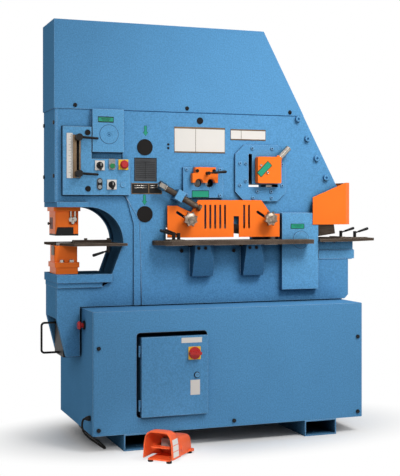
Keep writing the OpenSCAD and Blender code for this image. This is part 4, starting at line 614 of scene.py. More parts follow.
# Bolt caps down the frame's sloped edge: heights over the cabinet
SLOPE, SLOPE_X, SLOPE_Z = 0.5308, 0.659, 0.448
SLOPE_CAPS, SLOPE_TOP, SLOPE_RUN, SLOPE_STEP = 4, 0.900, 0.468, 0.2056
SLOPE_CAP, SLOPE_CAP_H = [(0.0145, 0), (0.0145, 0.0122), (0.0136, 0.0143), (0.012, 0.0148)], 0.0148
bm, sock = bmesh.new(), bmesh.new()
for i in range(SLOPE_CAPS):
    z = SLOPE_TOP - i * SLOPE_RUN * SLOPE_STEP
    c = Vector((SLOPE_X - (z - SLOPE_Z) * SLOPE, SKIN, CABINET_TOP + z))
    lathe(bm, c, FORE, SLOPE_CAP)
    # Painted shade: a dark hex tile on each cap, for its socket's shade.
    lathe(sock, c + FORE * SLOPE_CAP_H, FORE, [(0.0066, 0), (0.0066, 0.0002)], HEX, spin=19 * i)
piece("slope_caps", bm, BLUE)
piece("slope_sockets", sock, SEAM_AND_SHADE)

RIDGE_SECTION = ((-0.5, 0), (-0.3, 0.75), (0, 1), (0.3, 0.75), (0.5, 0))


def ridge(bm, points, w, h):
    """Low rounded ridge along points of a front plane."""
    rings = []
    for i, q in enumerate(points):
        d = (points[min(i + 1, len(points) - 1)] - points[max(i - 1, 0)]).normalized()
        side = FORE.cross(d).normalized()
        rings.append([q + side * x * w + FORE * z * h for x, z in RIDGE_SECTION])
    loft(bm, rings)


bm = bmesh.new()
ridge(bm, at_all(SKIN, (125.4, 196.2), (132.6, 208.5), (139.6, 220.6), (140.2, 230.0), (140.9, 265.0),
                 (141.3, 306.5)), 0.005, 0.0022)
piece("overlay_ridge", bm, BLUE, smooth=True)

PANEL_SCREWS = ((-0.644, 0.101), (-0.644, 0.463), (0.0, 0.101), (0.644, 0.101), (0.644, 0.463))
PANEL_HEAD_Y = FRONT_Y - 0.005
bm = bmesh.new()
# Painted shade: dark hex discs in the panel screws' sockets.
for x, z in PANEL_SCREWS:
    lathe(bm, Vector((x, PANEL_HEAD_Y, z)), FORE, [(0.0042, 0.0), (0.0042, 0.0003)], HEX)
piece("panel_sockets", bm, SHADE_AND_INK)

# Control panel: places are shares of its width and height
PANEL_LEFT, PANEL_FOOT, PANEL_W, PANEL_H = -0.763, 1.145, 0.316, 0.313
PROUD, LEGEND_T = 0.004, 0.0003


def on_panel(sx, sz, out=0.0):
    return Vector((PANEL_LEFT + sx * PANEL_W, PANEL_Y - out, PANEL_FOOT + sz * PANEL_H))


RULER_OUT, RULER_T, TICK_PITCH, TICK_H, TICK_T, TICK_END = 0.002, 0.0004, 0.003175, 0.001, 0.0002, 0.46
TICK_Y = PANEL_Y - RULER_OUT - RULER_T
INCH_TICK, HALF_TICK, TICK = 0.62, 0.42, 0.26
lo, hi = on_panel(0.051, 0.243), on_panel(0.138, 0.902)
mid, wide, high = middle(lo, hi, PANEL_Y - RULER_OUT), hi.x - lo.x, hi.z - lo.z
plate("ruler_face", mid, FORE, wide, high, RULER_T, 0.001, WHITE)
bm = bmesh.new()
for k in range(1, int(high / TICK_PITCH)):
    w = wide * (INCH_TICK if k % 8 == 0 else HALF_TICK if k % 4 == 0 else TICK)
    c = Vector((mid.x + wide * TICK_END - w / 2, TICK_Y, mid.z - high / 2 + k * TICK_PITCH))
    tile(bm, c, FORE, rect(w, TICK_H), TICK_T, TICK_T / 4)
piece("ruler_ticks", bm, SHADE_AND_INK)

PANEL_OUTLINE = ((0, 0), (1, 0), (1, 0.5335), (0.42, 0.5335), (0.42, 1), (0, 1))
GASKET_GROW, GASKET_T = 0.0028, 0.004


def grown(share, size):
    return share * size + (GASKET_GROW if share else -GASKET_GROW)


outline = [(grown(sx, PANEL_W), grown(sz, PANEL_H)) for sx, sz in PANEL_OUTLINE]
mt = placed((PANEL_LEFT, FACE_Y, PANEL_FOOT), FORE)
bm = bmesh.new()
loft(bm, [[mt @ Vector((x, z, q)) for x, z in outline] for q in (0.0, GASKET_T)])
piece("panel_gasket", bm, RUBBER)

SELECTORS = {"selector_upper": (0.541, 0.435), "selector_lower": (0.722, 0.154)}
STOP, START, JOG, BLANK = (0.896, 0.45), (0.725, 0.43), (0.54, 0.162), (0.893, 0.156)
SELECTOR_RING = [(0.0165, 0), (0.0165, 0.003), (0.0152, 0.0045), (0.0135, 0.0045), (0.0135, 0.0006)]
MARK_RISE, START_LEGEND_RISE = 0.004, 0.075
for name, share in SELECTORS.items():
    plate(name + "_legend", on_panel(*share, PROUD), FORE, 0.045, 0.045, LEGEND_T, 0.003, WHITE)
    turned_piece(name + "_ring", on_panel(*share, PROUD + LEGEND_T), FORE, SELECTOR_RING, 40, BPLAST)
    lo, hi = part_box(name)
    mark = Vector((on_panel(*share).x, lo.y, on_panel(*share).z + MARK_RISE))
    plate(name + "_mark", mark, FORE, 0.0022, 0.012, 0.0004, 0.0005, WHITE, name)
plate("stop_legend", on_panel(*STOP, PROUD), FORE, 0.047, 0.047, LEGEND_T, 0.002, YELLOW)
BEZEL = [(0.0148, 0), (0.0148, 0.004), (0.0138, 0.0052), (0.0122, 0.0052), (0.0113, 0.004), (0.0113, 0.0005)]
turned_piece("start_bezel", on_panel(*START, PROUD), FORE, BEZEL, 44, BRIGHT)
legend = on_panel(START[0], START[1] + START_LEGEND_RISE, PROUD)
plate("start_legend", legend, FORE, 0.024, 0.014, 0.0004, 0.001, ALLOY)
plate("jog_frame", on_panel(*JOG, PROUD), FORE, 0.0245, 0.0525, LEGEND_T, 0.011, BPLAST)

CLAMPS = {"stroke_clamp_lower": (0.215, 0.311), "stroke_clamp_upper": (0.215, 0.838)}
CHANNEL_SLOT, SLOT_HALF = 0.215, 0.0062
lo, hi = on_panel(0.143, 0.246, PROUD), on_panel(0.257, 0.878, PROUD)
slot_x = on_panel(CHANNEL_SLOT, 0).x
for name, x0, x1 in (("channel_left", lo.x, slot_x - SLOT_HALF), ("channel_right", slot_x + SLOT_HALF, hi.x)):
    mid = Vector(((x0 + x1) / 2, lo.y, (lo.z + hi.z) / 2))
    plate(name, mid, FORE, x1 - x0, hi.z - lo.z, LEGEND_T, 0.0005, BRONZE)
ARM_TILT, ARM_OUT, SLEEVE_START = math.radians(3), 0.0044 + 0.85 * 0.036, 0.017
ARM_WAY = Vector((math.cos(ARM_TILT), 0, -math.sin(ARM_TILT)))
SLEEVE = [(0.0050, 0), (0.0062, 0.001), (0.0056, 0.067), (0.0046, 0.0705), (0.002, 0.0722)]
for node, share in CLAMPS.items():
    start = on_panel(*share, ARM_OUT) + ARM_WAY * SLEEVE_START
    turned_piece(node + "_sleeve", start, ARM_WAY, SLEEVE, 28, BLACK, node, smooth=True)
PANEL_CAP = [(0.0134, 0), (0.0134, 0.003), (0.0126, 0.0036), (0.0096, 0.0036), (0.0092, 0.0033)]
turned_piece("panel_cap", on_panel(*BLANK), FORE, PANEL_CAP, 44, LIT_BLUE)

# Door: its switch plate, latch and two blank tags, by the photograph's columns, row and a height
DOOR = "electrical_door"
SWITCH_AT, LATCH_AT = Vector((-0.20215, DOOR_Y - 0.003, 0.42646)), Vector((-0.18955, DOOR_Y, 0.3265))
plate("switch_plate", SWITCH_AT, FORE, 0.0592, 0.0592, LEGEND_T, 0.004, YELLOW, DOOR)
for name, u0, u1, v, h in (("door_tag_upper", 181.5, 202.0, 340.5, 0.024),
                           ("door_tag_lower", 190.5, 200.0, 387.5, 0.068)):
    a, b = at_all(DOOR_Y, (u0, v), (u1, v))
    plate(name, Vector(((a.x + b.x) / 2, DOOR_Y, a.z)), FORE, b.x - a.x, h, 0.0006, 0.001, WHITE, DOOR)
LATCH_BEZEL = [(0.0142, 0), (0.0142, 0.0015), (0.0133, 0.0024), (0.0116, 0.0024), (0.0114, 0.0004)]
turned_piece("latch_bezel", LATCH_AT, FORE, LATCH_BEZEL, 40, BPLAST, DOOR)

# Punch station
PUNCH_X, STRIPPER_HALF, STRIPPER_FRONT, STRIPPER_TOP = -0.727, 0.055, -0.077, 1.070
STUD_INSET, STUD_RUN, STUD_BACK, STUD_DROP, WASHER_RISE = 0.007, 0.040, 0.009, 0.0496, 0.0108
STUD_NUT = [(0.0076, -0.0002), (0.0084, 0.0008), (0.0084, 0.0094), (0.0076, 0.0104)]
bm = bmesh.new()
for share in (0.25, 0.75):
    x = PUNCH_X + STRIPPER_HALF - STUD_INSET - share * STUD_RUN
    c = Vector((x, STRIPPER_FRONT + STUD_BACK, STRIPPER_TOP - STUD_DROP))
    lathe(bm, c, UP, [(0.0052, 0), (0.0052, 0.0494)], 24)
    lathe(bm, c, UP, STUD_NUT, HEX)
    lathe(bm, c + UP * WASHER_RISE, UP, [(0.0086, 0), (0.0086, 0.0016)], 28)
piece("stripper_studs", bm, BRIGHT)
bm = bmesh.new()
for u, v, r, sides in ((70.9, 219.6, 0.0125, 8), (74.2, 219.3, 0.0125, 8), (72.6, 222.6, 0.0085, HEX)):
    knob = [(r * 0.86, 0), (r, 0.001), (r, 0.0085), (r * 0.84, 0.0098)]
    lathe(bm, at(u, v, STRIPPER_FRONT - 0.0002), FORE, knob, sides, spin=11)
piece("stripper_knobs", bm, BRIGHT)

shoe_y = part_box("stripper_plate")[0].y
outline = at_all(shoe_y, (55.6, 235.0), (73.4, 235.0), (73.4, 227.2), (57.4, 227.2))
mid = sum(outline, Vector()) / len(outline)
bm = bmesh.new()
tile(bm, mid, FORE, [(q.x - mid.x, q.z - mid.z) for q in outline], 0.0012, 0.0004)
piece("stripper_shoe", bm, BLACK)

WINDOW_T = 0.0004
strip_x = PUNCH_X - STRIPPER_HALF
# Painted shade: a dark plate stands for the stripper's opening, whose inside lies in shade.
plate("stripper_window", Vector((strip_x, 0.018, 1.014)), LEFTWARD, 0.072, 0.054, WINDOW_T, 0.003, OPENING_SHADE)
PULL = [(0.004, 0), (0.004, 0.004), (0.0065, 0.005), (0.007, 0.009), (0.005, 0.0115)]
c = Vector((strip_x - WINDOW_T, 0.046, 1.012))
turned_piece("stripper_pull", c, LEFTWARD, PULL, 28, BPLAST, smooth=True)

KEY_SINK, HOLDER_BOLT_X, HOLDER_BOLT_Y, HOLDER_FOOT_Z = 0.0035, 0.0232, -0.08 + 0.014, 0.833
HOLDER_WASHER_T, HOLDER_BOLT = 0.002, [(0.0112, 0), (0.0112, 0.0094), (0.0098, 0.0108)]
key_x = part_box("die_holder")[0].x + KEY_SINK
plate("die_key", Vector((key_x, -0.022, 0.888)), LEFTWARD, 0.058, 0.044, 0.003, 0.003, STEEL)
bm = bmesh.new()
for i in (-1, 1):
    c = Vector((PUNCH_X + i * HOLDER_BOLT_X, HOLDER_BOLT_Y, HOLDER_FOOT_Z))
    lathe(bm, c, UP, [(0.0135, 0), (0.0135, 0.0016), (0.0128, HOLDER_WASHER_T)], 36)
    lathe(bm, c + UP * HOLDER_WASHER_T, UP, HOLDER_BOLT, HEX, spin=14 * i)
piece("holder_bolts", bm, BRIGHT)

# Shear stations: the bar and the angle plate, with bolts by shares of each plate's width and height
AXIS = Vector((0.424, 0, 0.929))
BAR_AT, ANGLE_AT = AXIS + Vector((-0.608, 0, 0.205)), AXIS + Vector((-0.342, 0, 0.189))
BAR_W, BAR_H, ANGLE_W, ANGLE_H, PLATE_T = 0.202, 0.145, 0.268, 0.274, 0.014
ANGLE_BOLTS = ((0.09, 0.67), (0.2, 0.67), (0.2, 0.36), (0.09, 0.28), (0.43, 0.17), (0.7, 0.17), (0.33, 0.94),
               (0.72, 0.94), (0.92, 0.66), (0.92, 0.28), (0.34, 0.06), (0.71, 0.06))
BAR_BOLTS = ((0.08, 0.93), (0.92, 0.93), (0.08, 0.08), (0.92, 0.08))
PLATE_BOLTS = [(corner.x + sx * w, corner.z + sz * h, turn * i)
               for corner, w, h, turn, shares in ((ANGLE_AT, ANGLE_W, ANGLE_H, 17, ANGLE_BOLTS),
                                                  (BAR_AT, BAR_W, BAR_H, 23, BAR_BOLTS))
               for i, (sx, sz) in enumerate(shares)]
BOLT_TOP_Y, HEAD_Y = SKIN - PLATE_T - 0.005, SKIN - 0.0137
bm, heads = bmesh.new(), bmesh.new()
for x, z, spin in PLATE_BOLTS:
    lathe(bm, Vector((x, BOLT_TOP_Y, z)), FORE, [(0.0034, 0), (0.0034, 0.0002)], HEX, spin=spin)
    screw(heads, Vector((x, HEAD_Y, z)), FORE, 0.0086, 0.0051, spin)
# Painted shade: dark hex discs at the floor of each bolt head's socket.
piece("plate_sockets", bm, SHADE_AND_INK)
piece("plate_heads", heads, BLUE)

# Hold-downs of both shears
ANGLE_HOLD, BAR_HOLD = "angle_hold_down", "bar_hold_down"
ANGLE_TAG_Y, ANGLE_SCREW_Y, BAR_SCREW_Y = SKIN - 0.0534, SKIN - 0.0546, SKIN - 0.0404
label_px("tag_bar", (192.0, 190.5, 209.0, 197.5), SKIN - PLATE_T, TAG, BPLAST, 0.4)
c = at(264.5, 169.1, ANGLE_TAG_Y)
plate("tag_angle", c, FORE, 0.078, 0.028, 0.0012, 0.003, TAG, ANGLE_HOLD, spin=45)
plate("tag_angle_rim", c, FORE, 0.083, 0.033, 0.0007, 0.003, BPLAST, ANGLE_HOLD, spin=45)
places = at_all(ANGLE_SCREW_Y, (261.0, 165.3), (267.7, 172.6))
screws("angle_hold_screws", places, 0.0062, 0.005, 25, BRIGHT, ANGLE_HOLD)
places = [Vector((BAR_AT.x + s * BAR_W, BAR_SCREW_Y, BAR_AT.z + 0.88 * BAR_H)) for s in (0.30, 0.72)]
screws("bar_hold_screws", places, 0.0085, 0.005, 25, BLACK, BAR_HOLD)

# Hold-down screw's head, set back along its axis from where it passes through its nut
HOLD, HOLD_Y = AXIS + Vector((-0.640, 0, 0.213)), SKIN - 0.043
HEAD_BACK, HEAD_LEN = 0.218 * 0.44 + 0.0173, 0.0346
HEAD_PROFILE = [(0.0150, 0), (0.0180, 0.0006), (0.0204, 0.0022), (0.0204, 0.0324), (0.0180, 0.0342),
                (0.0160, HEAD_LEN)]
head = Vector((HOLD.x, HOLD_Y, HOLD.z)) - SCREW_AXIS * HEAD_BACK
bm = bmesh.new()
lathe(bm, head, SCREW_AXIS, HEAD_PROFILE, HEX, spin=30)
hoop(bm, head + SCREW_AXIS * HEAD_LEN, SCREW_AXIS, 0.0151, 0.0185, 0.004, 40)
piece("screw_head", bm, BRIGHT, "hold_down_screw")

SPINDLE_AT, SPINDLE_START = Vector((0.2927, SKIN - 0.0364, 1.3184)), 0.0195
SPINDLE_WAY = Vector((1, 0, 1)).normalized()
SPINDLE = [(0.0152, 0), (0.0156, 0.001), (0.0156, 0.0495), (0.0152, 0.0500), (0.0152, 0.0515),
           (0.0156, 0.0520), (0.0156, 0.0660), (0.0136, 0.0679)]
bm = bmesh.new()
lathe(bm, SPINDLE_AT + SPINDLE_WAY * SPINDLE_START, SPINDLE_WAY, SPINDLE, 44, 0.006, 0.0004)
piece("spindle_sleeve", bm, BRIGHT, ANGLE_HOLD)

# Clamp levers: grips from a share of the arm's length on
GRIP_START = 0.30
GRIP_TIP = ((0.0058, 0.25), (0.0070, 0.60), (0.0070, 0.68), (0.0056, 0.74), (0.0022, 0.765))
HUB, HUB_RISE, ARM, BAR_ARM, RISE = 0.008, 0.021, 0.072, 0.084, math.radians(18)


def grip(node, start, along, length):
    """Moulded grip over a clamp lever's arm, wider towards its rounded end."""
    a = along.normalized()
    profile = [(0.0046, 0), (0.0054, 0.0012)] + [(r, s * length) for r, s in GRIP_TIP]
    turned_piece(node + "_grip", start + a * GRIP_START * length, a, profile, 28, BPLAST, node, smooth=True)


def turned(degrees, rise):
    a = math.radians(degrees)
    return Vector((math.cos(a) * math.cos(rise), math.sin(a) * math.cos(rise), math.sin(rise)))


for node, degrees in (("fence_lever_left", 190), ("fence_lever_right", 190), ("notch_lever_front", -10),
                      ("notch_lever_rear", -10)):
    lo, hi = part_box(node)
    hub_x = hi.x - HUB if degrees == 190 else lo.x + HUB
    grip(node, Vector((hub_x, hi.y - HUB, lo.z + HUB_RISE)), turned(degrees, RISE), ARM)
lo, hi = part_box("punch_table_lever")
grip("punch_table_lever", Vector((hi.x - HUB, lo.y + HUB, hi.z - HUB_RISE)), turned(170, -RISE), ARM)
lo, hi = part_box("bar_lever")
out = turned(5, RISE / 2)
grip("bar_lever", Vector((lo.x + HUB, hi.y - HUB_RISE, lo.z + HUB)), Vector((out.x, -out.z, out.y)), BAR_ARM)

# Bolts and weld beads round the tables, the pivot block and the trunnion block
TABLE_UNDER, TABLE_SHIFT = 0.911, 0.035
TABLE_BOLTS = ((-0.545, -0.165), (-0.490, -0.185), (-0.285, -0.165), (-0.230, -0.185))
TABLE_BOLT = [(0.010, 0), (0.010, 0.0015), (0.009, 0.0016), (0.009, 0.0085), (0.0078, 0.0098)]
bm = bmesh.new()
for i, c in enumerate(at_all(SKIN, (181.3, 251.0), (233.5, 250.6))):
    screw(bm, c, FORE, 0.008, 0.008, 21 * i)
for i, (x, y) in enumerate(TABLE_BOLTS):
    lathe(bm, Vector((AXIS.x + x - TABLE_SHIFT, y, TABLE_UNDER)), DOWN, TABLE_BOLT, HEX, spin=13 * i)
piece("table_bolts", bm, BLACK)
screws("notch_bolts", at_all(SKIN, (323.7, 242.1), (333.9, 242.1)), 0.007, 0.006, 21, BLUE)

BEAD_PITCH, BEAD_SIDES, BEAD_LOW, BEAD_TURN, BEAD_END = 0.004, 8, 0.82, 1.7, 0.35
WIDE_BEAD, FINE_BEAD = 0.004, 0.003


def weld(bm, y, x0, z0, x1, z1, r, seed):
    """Rippled fillet bead between two points of the plane y."""
    a, b = Vector((x0, y, z0)), Vector((x1, y, z1))
    m = basis((b - a).normalized(), Vector((0, -1, 0.01))).to_3x3()
    k = max(8, int((b - a).length / BEAD_PITCH))
    rings = []
    for i in range(k + 1):
        ripple = BEAD_LOW + (1 - BEAD_LOW) * abs(math.sin(i * BEAD_TURN + seed))
        w = r * ripple * (BEAD_END if i in (0, k) else 1)
        c = a + (b - a) * (i / k)
        rings.append([c + q for q in ring(m, w, 0, BEAD_SIDES)])
    loft(bm, rings)


BRACKETS, BRACKET_W, BRACKET_FOOT, BRACKET_GAP = (-0.570, -0.310), 0.105, 0.761, 0.002
PIVOT_L, PIVOT_R, PIVOT_FOOT, PIVOT_TOP = AXIS.x - 0.101, AXIS.x + 0.095, AXIS.z - 0.243, AXIS.z + 0.131
TRUNNION_L, TRUNNION_R, TRUNNION_FOOT, TRUNNION_TOP = -0.626, -0.478, 1.345, 1.536
bm = bmesh.new()
for i, x in enumerate(BRACKETS):
    x += AXIS.x
    for q, e in enumerate((0.0, BRACKET_W)):
        weld(bm, SKIN, x + e, BRACKET_FOOT, x + e, TABLE_UNDER - BRACKET_GAP, WIDE_BEAD, i + q)
    weld(bm, SKIN, x, BRACKET_FOOT, x + BRACKET_W, BRACKET_FOOT, WIDE_BEAD, i)
weld(bm, SKIN, PIVOT_L, PIVOT_FOOT, PIVOT_R, PIVOT_FOOT, WIDE_BEAD, 3)
weld(bm, SKIN, PIVOT_L, PIVOT_TOP, PIVOT_R, PIVOT_TOP, WIDE_BEAD, 4)
weld(bm, SKIN, PIVOT_L, AXIS.z + 0.020, PIVOT_L, PIVOT_TOP, WIDE_BEAD, 5)
weld(bm, SKIN, PIVOT_R, PIVOT_FOOT, PIVOT_R, AXIS.z - 0.11, WIDE_BEAD, 6)
for i, (x, z) in enumerate(((0.105, 0.831), (0.111, 0.8755))):
    weld(bm, SKIN, AXIS.x + x, z, AXIS.x + x + 0.195, z, FINE_BEAD, i)
for i, x in enumerate((TRUNNION_L, TRUNNION_R)):
    weld(bm, FACE_Y, x, TRUNNION_FOOT, x, TRUNNION_TOP, FINE_BEAD, i)
weld(bm, FACE_Y, TRUNNION_L, TRUNNION_FOOT - 0.002, TRUNNION_R, TRUNNION_FOOT - 0.002, FINE_BEAD, 7)
piece("weld_beads", bm, BLUE, smooth=True)

BRACKET_OUT, BRACKET_SLOPE, BOLT_DOWN, BOLT_SINK = -0.217, 50.0 / 150.0, 0.014, 0.0005
bolt_y = BRACKET_OUT + BOLT_DOWN * BRACKET_SLOPE + BOLT_SINK
bm = bmesh.new()
for left in (-0.146, 0.114):
    for along in (0.016, 0.050):
        c = Vector((left + along, bolt_y, TABLE_UNDER - BOLT_DOWN))
        screw(bm, c, (0, -1, -BRACKET_SLOPE), 0.0075, 0.008, 900 * along)
piece("bracket_bolts", bm, BLACK)

# Pedal: its own frame runs from the open front of the hood, y = 0, back to the housing's end
PEDAL_AT = Matrix.Translation((-0.452, -0.592, 0)) @ Matrix.Rotation(math.radians(-44), 4, "Z")
PEDAL_TURN = PEDAL_AT.to_3x3()
SIDE, INWARD = PEDAL_TURN @ Vector((1, 0, 0)), PEDAL_TURN @ Vector((0, -1, 0))
PEDAL_LEN, HOOD_WIDE, HOOD_HIGH, HOUSE_WIDE, HOUSE_HIGH = 0.245, 0.071, 0.117, 0.050, 0.076
HOOD_RIM, HOUSE_RIM, PEDAL_WALL, ARCH, FLARE = 0.018, 0.012, 0.0045, 5.0, 0.10
PIN_Y, PIN_Z, CAVITY_END, BASE_Z = 0.128, 0.044, 0.136, 0.010
CAST_AT = (0, 0.004, 0.014, 0.028, 0.042, 0.056, 0.070, 0.080, 0.087, 0.094, 0.101, 0.108, 0.114, 0.120,
           PIN_Y, CAVITY_END, 0.150, 0.190, 0.228, 0.238, 0.243, PEDAL_LEN)
CAVITY = CAST_AT.index(CAVITY_END)
CAST_SHARP = math.radians(38)
PIN_X, PIN_BOSS = 0.047, [(0.011, 0), (0.0105, 0.0085), (0.009, 0.010)]


def in_pedal(x, y, z):
    return PEDAL_AT @ Vector((x, y, z))


FOOT_WIDE, FOOT_PROFILE = 0.110, [(0.0105, 0), (0.0118, 0.0012), (0.0118, 0.0086), (0.0112, 0.0098)]
bm = bmesh.new()
for sx in (-0.4, 0.4):
    for sy in (0.08, 0.92):
        lathe(bm, in_pedal(sx * FOOT_WIDE, sy * PEDAL_LEN, 0), UP, FOOT_PROFILE, 32)
piece("pedal_feet", bm, RUBBER)


def ease(a, b, x):
    s = min(1.0, max(0.0, (x - a) / (b - a)))
    return s * s * (3 - 2 * s)


def cast_size(y):
    """Half width, height and rim of the casting: an arched hood that runs down into the rear housing."""
    tail = 0.05 * ease(0.15, PEDAL_LEN, y) + 0.06 * ease(0.228, PEDAL_LEN, y)
    lip = 1 - 0.012 * (1 - ease(0, 0.006, y))
    wide = HOOD_WIDE + (HOUSE_WIDE - HOOD_WIDE) * ease(0.078, 0.120, y)
    high = HOOD_HIGH + (HOUSE_HIGH - HOOD_HIGH) * ease(0.045, 0.122, y)
    rim = HOOD_RIM + (HOUSE_RIM - HOOD_RIM) * ease(0.085, 0.118, y)
    return wide * lip * (1 - tail), high * lip * (1 - tail), rim


def cast_out(y, z):
    """How far out the casting's side lies at the height z."""
    wide, high, rim = cast_size(y)
    s = (z - rim) / high
    return wide * (1 - s ** ARCH) ** (1 / ARCH) * (1 - FLARE * s)


def cast_ring(bm, y, inset, n=28):
    """Open arch of the casting at y, from one lower edge over to the other."""
    wide, high, rim = cast_size(y)
    arch = []
    for k in range(n + 1):
        a = math.pi * k / n
        c, s = math.cos(a), abs(math.sin(a)) ** (2 / ARCH)
        x = math.copysign(abs(c) ** (2 / ARCH), c) * (wide - inset) * (1 - FLARE * s)
        arch.append(bm.verts.new(in_pedal(x, y, rim + s * (high - inset))))
    return arch


def strip(bm, p, q):
    """Faces between two rows of as many points."""
    for k in range(len(p) - 1):
        bm.faces.new((p[k], p[k + 1], q[k + 1], q[k]))


bm = bmesh.new()
outer = [cast_ring(bm, y, 0.0) for y in CAST_AT]
inner = [cast_ring(bm, y, PEDAL_WALL) for y in CAST_AT[:CAVITY + 1]]
for skin in (outer, inner):
    for p, q in zip(skin, skin[1:]):
        strip(bm, p, q)
strip(bm, outer[0], inner[0])
for e in (0, -1):
    strip(bm, [p[e] for p in outer[:CAVITY + 1]], [p[e] for p in inner])
bm.faces.new((outer[CAVITY][0], inner[CAVITY][0], inner[CAVITY][-1], outer[CAVITY][-1], outer[CAVITY + 1][-1],
              outer[CAVITY + 1][0]))
for p, q in zip(outer[CAVITY + 1:], outer[CAVITY + 2:]):
    bm.faces.new((p[0], p[-1], q[-1], q[0]))
bm.faces.new(inner[-1])
bm.faces.new(outer[-1])
for sgn in (-1, 1):
    lathe(bm, in_pedal(sgn * PIN_X, PIN_Y, PIN_Z), SIDE * sgn, PIN_BOSS, 28)
ob = piece("pedal_casting", bm, PEDAL, smooth=True)
ob.data.set_sharp_from_angle(angle=CAST_SHARP)
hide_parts("pedal_body")

LUG_X, LUG_Y, LUG_T, BASE_BEVEL = 0.049, 0.230, 0.009, 0.0008
bm = bmesh.new()
tile(bm, in_pedal(0, 0.1225, BASE_Z), UP, round_rect(0.104, 0.235, 0.008), 0.006, BASE_BEVEL, INWARD)
tile(bm, in_pedal(0, LUG_Y, BASE_Z), UP, round_rect(0.080, 0.030, 0.002), LUG_T, BASE_BEVEL, INWARD)
for sgn in (-1, 1):
    hoop(bm, in_pedal(sgn * LUG_X, LUG_Y, BASE_Z), UP, 0.0045, 0.015, LUG_T)
piece("pedal_base", bm, PEDAL)

# Blank labels that follow the casting's side: heights, front edge, length, layers and rows across
LABEL_HEIGHTS, LABEL_FRONT, LABEL_LEN, LABEL_CUTS = (0.038, 0.064, 0.090), 0.010, 0.052, 6
LABEL_LAYERS, LABEL_ROWS = (-0.0003, 0.0006), (-0.0115, -0.004, 0.004, 0.0115)
for k, z in enumerate(LABEL_HEIGHTS):
    bm = bmesh.new()
    low, top = [], []
    for layer, lift in zip((low, top), LABEL_LAYERS):
        for i in range(LABEL_CUTS + 1):
            y = LABEL_FRONT + LABEL_LEN * i / LABEL_CUTS
            points = [in_pedal(cast_out(y, z + dz) + lift, y, z + dz) for dz in LABEL_ROWS]
            layer.append([bm.verts.new(p) for p in points])
        for p, q in zip(layer, layer[1:]):
            strip(bm, p, q)
    for e in (0, -1):
        strip(bm, low[e], top[e])
        strip(bm, [p[e] for p in low], [p[e] for p in top])
    piece("pedal_label_%d" % k, bm, WHITE)

bm = bmesh.new()
tile(bm, in_pedal(0.006, 0.100, 0.074), INWARD, round_rect(0.048, 0.036, 0.003), 0.030, 0.0006)
tile(bm, in_pedal(0.004, CAVITY_END, 0.068), INWARD, round_rect(0.030, 0.022, 0.003), 0.036, 0.0004)
piece("toe_block", bm, BED)
plate("toe_bumper", in_pedal(-0.028, CAVITY_END, 0.068), INWARD, 0.014, 0.024, 0.030, 0.005, RUBBER)

RIB_COUNT, RIB_START, RIB_PITCH, RIB_RISE = 9, -0.102, 0.010, 0.005
TREAD = Matrix.Translation((0, PIN_Y, PIN_Z)) @ Matrix.Rotation(math.radians(-8), 4, "X")
TREAD_UP = PEDAL_TURN @ TREAD.to_3x3() @ UP
bm = bmesh.new()
for k in range(RIB_COUNT):
    c = PEDAL_AT @ TREAD @ Vector((0, RIB_START + RIB_PITCH * k, RIB_RISE))
    tile(bm, c, TREAD_UP, round_rect(0.076, 0.004, 0.0015), 0.0012, 0.0005, INWARD)
piece("treadle_ribs", bm, PEDAL, "pedal_treadle")

# Floor: matt near the machine, and white as the background where rays that show it fall further away
FLOOR_SIZE, FLOOR_TONE, FLOOR_ROUGH, FLOOR_SPEC = 40, (0.88, 0.88, 0.88, 1), 0.8, 0.1
FLOOR_OVAL, FADE_FROM, FADE_TO = (0.55, 1.0, 1.0), 0.32, 0.70


def seen_ray(t):
    """1 for the rays that show the background: camera, glossy and transmission."""
    path_node = new_node(t, "LightPath")
    last = path_node.outputs["Is Camera Ray"]
    for kind in ("Is Glossy Ray", "Is Transmission Ray"):
        last = calc(t, "MAXIMUM", last, path_node.outputs[kind])
    return last


def mix_shaders(t, factor, first, second, surface):
    mix = new_node(t, "MixShader")
    for socket, value in zip(mix.inputs, (factor, first, second)):
        t.links.new(value, socket)
    t.links.new(mix.outputs[0], surface)


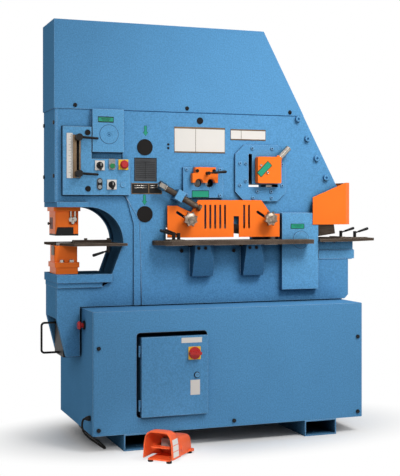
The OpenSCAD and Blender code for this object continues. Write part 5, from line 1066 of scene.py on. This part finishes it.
floor_m, t, p, co = shader("floor")
p.inputs["Base Color"].default_value = FLOOR_TONE
p.inputs["Roughness"].default_value = FLOOR_ROUGH
p.inputs["Specular IOR Level"].default_value = FLOOR_SPEC
away = vector_calc(t, "LENGTH", vector_calc(t, "MULTIPLY", co.outputs["Object"], FLOOR_OVAL))
fade = new_node(t, "MapRange", interpolation_type="SMOOTHSTEP")
fade.inputs["From Min"].default_value, fade.inputs["From Max"].default_value = FADE_FROM, FADE_TO
t.links.new(away, fade.inputs["Value"])
mix_shaders(t, calc(t, "MULTIPLY", seen_ray(t), fade.outputs["Result"]), p.outputs["BSDF"],
            new_node(t, "Emission").outputs["Emission"], t.nodes["Material Output"].inputs["Surface"])
bpy.ops.mesh.primitive_plane_add(size=FLOOR_SIZE, location=(0, 0, 0))
floor = bpy.context.object
floor.name = "floor"
floor.data.materials.append(floor_m)

# World: soft light on the machine, and plain white where it is seen
AMBIENT, SEEN = 0.43, 1.0
world = bpy.data.worlds.new("world")
bpy.context.scene.world = world
world.use_nodes = True
wt = world.node_tree
wt.nodes.clear()


def background(strength):
    n = new_node(wt, "Background")
    n.inputs["Color"].default_value = (1, 1, 1, 1)
    n.inputs["Strength"].default_value = strength
    return n.outputs[0]


mix_shaders(wt, seen_ray(wt), background(AMBIENT), background(SEEN),
            new_node(wt, "OutputWorld").inputs["Surface"])


# Lamps
def lamp(name, loc, target, size, power, spread):
    """Area lamp that looks at the target, with its light kept within the spread in degrees."""
    d = bpy.data.lights.new(name, "AREA")
    d.shape = "RECTANGLE"
    d.size, d.size_y = size
    d.energy = power
    d.spread = math.radians(spread)
    o = bpy.data.objects.new(name, d)
    bpy.context.collection.objects.link(o)
    o.location = loc
    o.rotation_euler = (Vector(target) - Vector(loc)).to_track_quat("-Z", "Y").to_euler()


lamp("key", loc=(1.05, -2.1, 3.5), target=(0.5, -0.1, 1.2), size=(1.5, 1.5), power=14, spread=56.0)
lamp("front", loc=(-0.9, -4.6, 2.6), target=(-0.5, 0, 1.55), size=(1.6, 1.2), power=2.6, spread=30.0)
lamp("pedal", loc=(-0.95, -2.2, 1.3), target=(-0.43, -0.60, 0.06), size=(0.2, 0.2), power=0.30, spread=16.0)
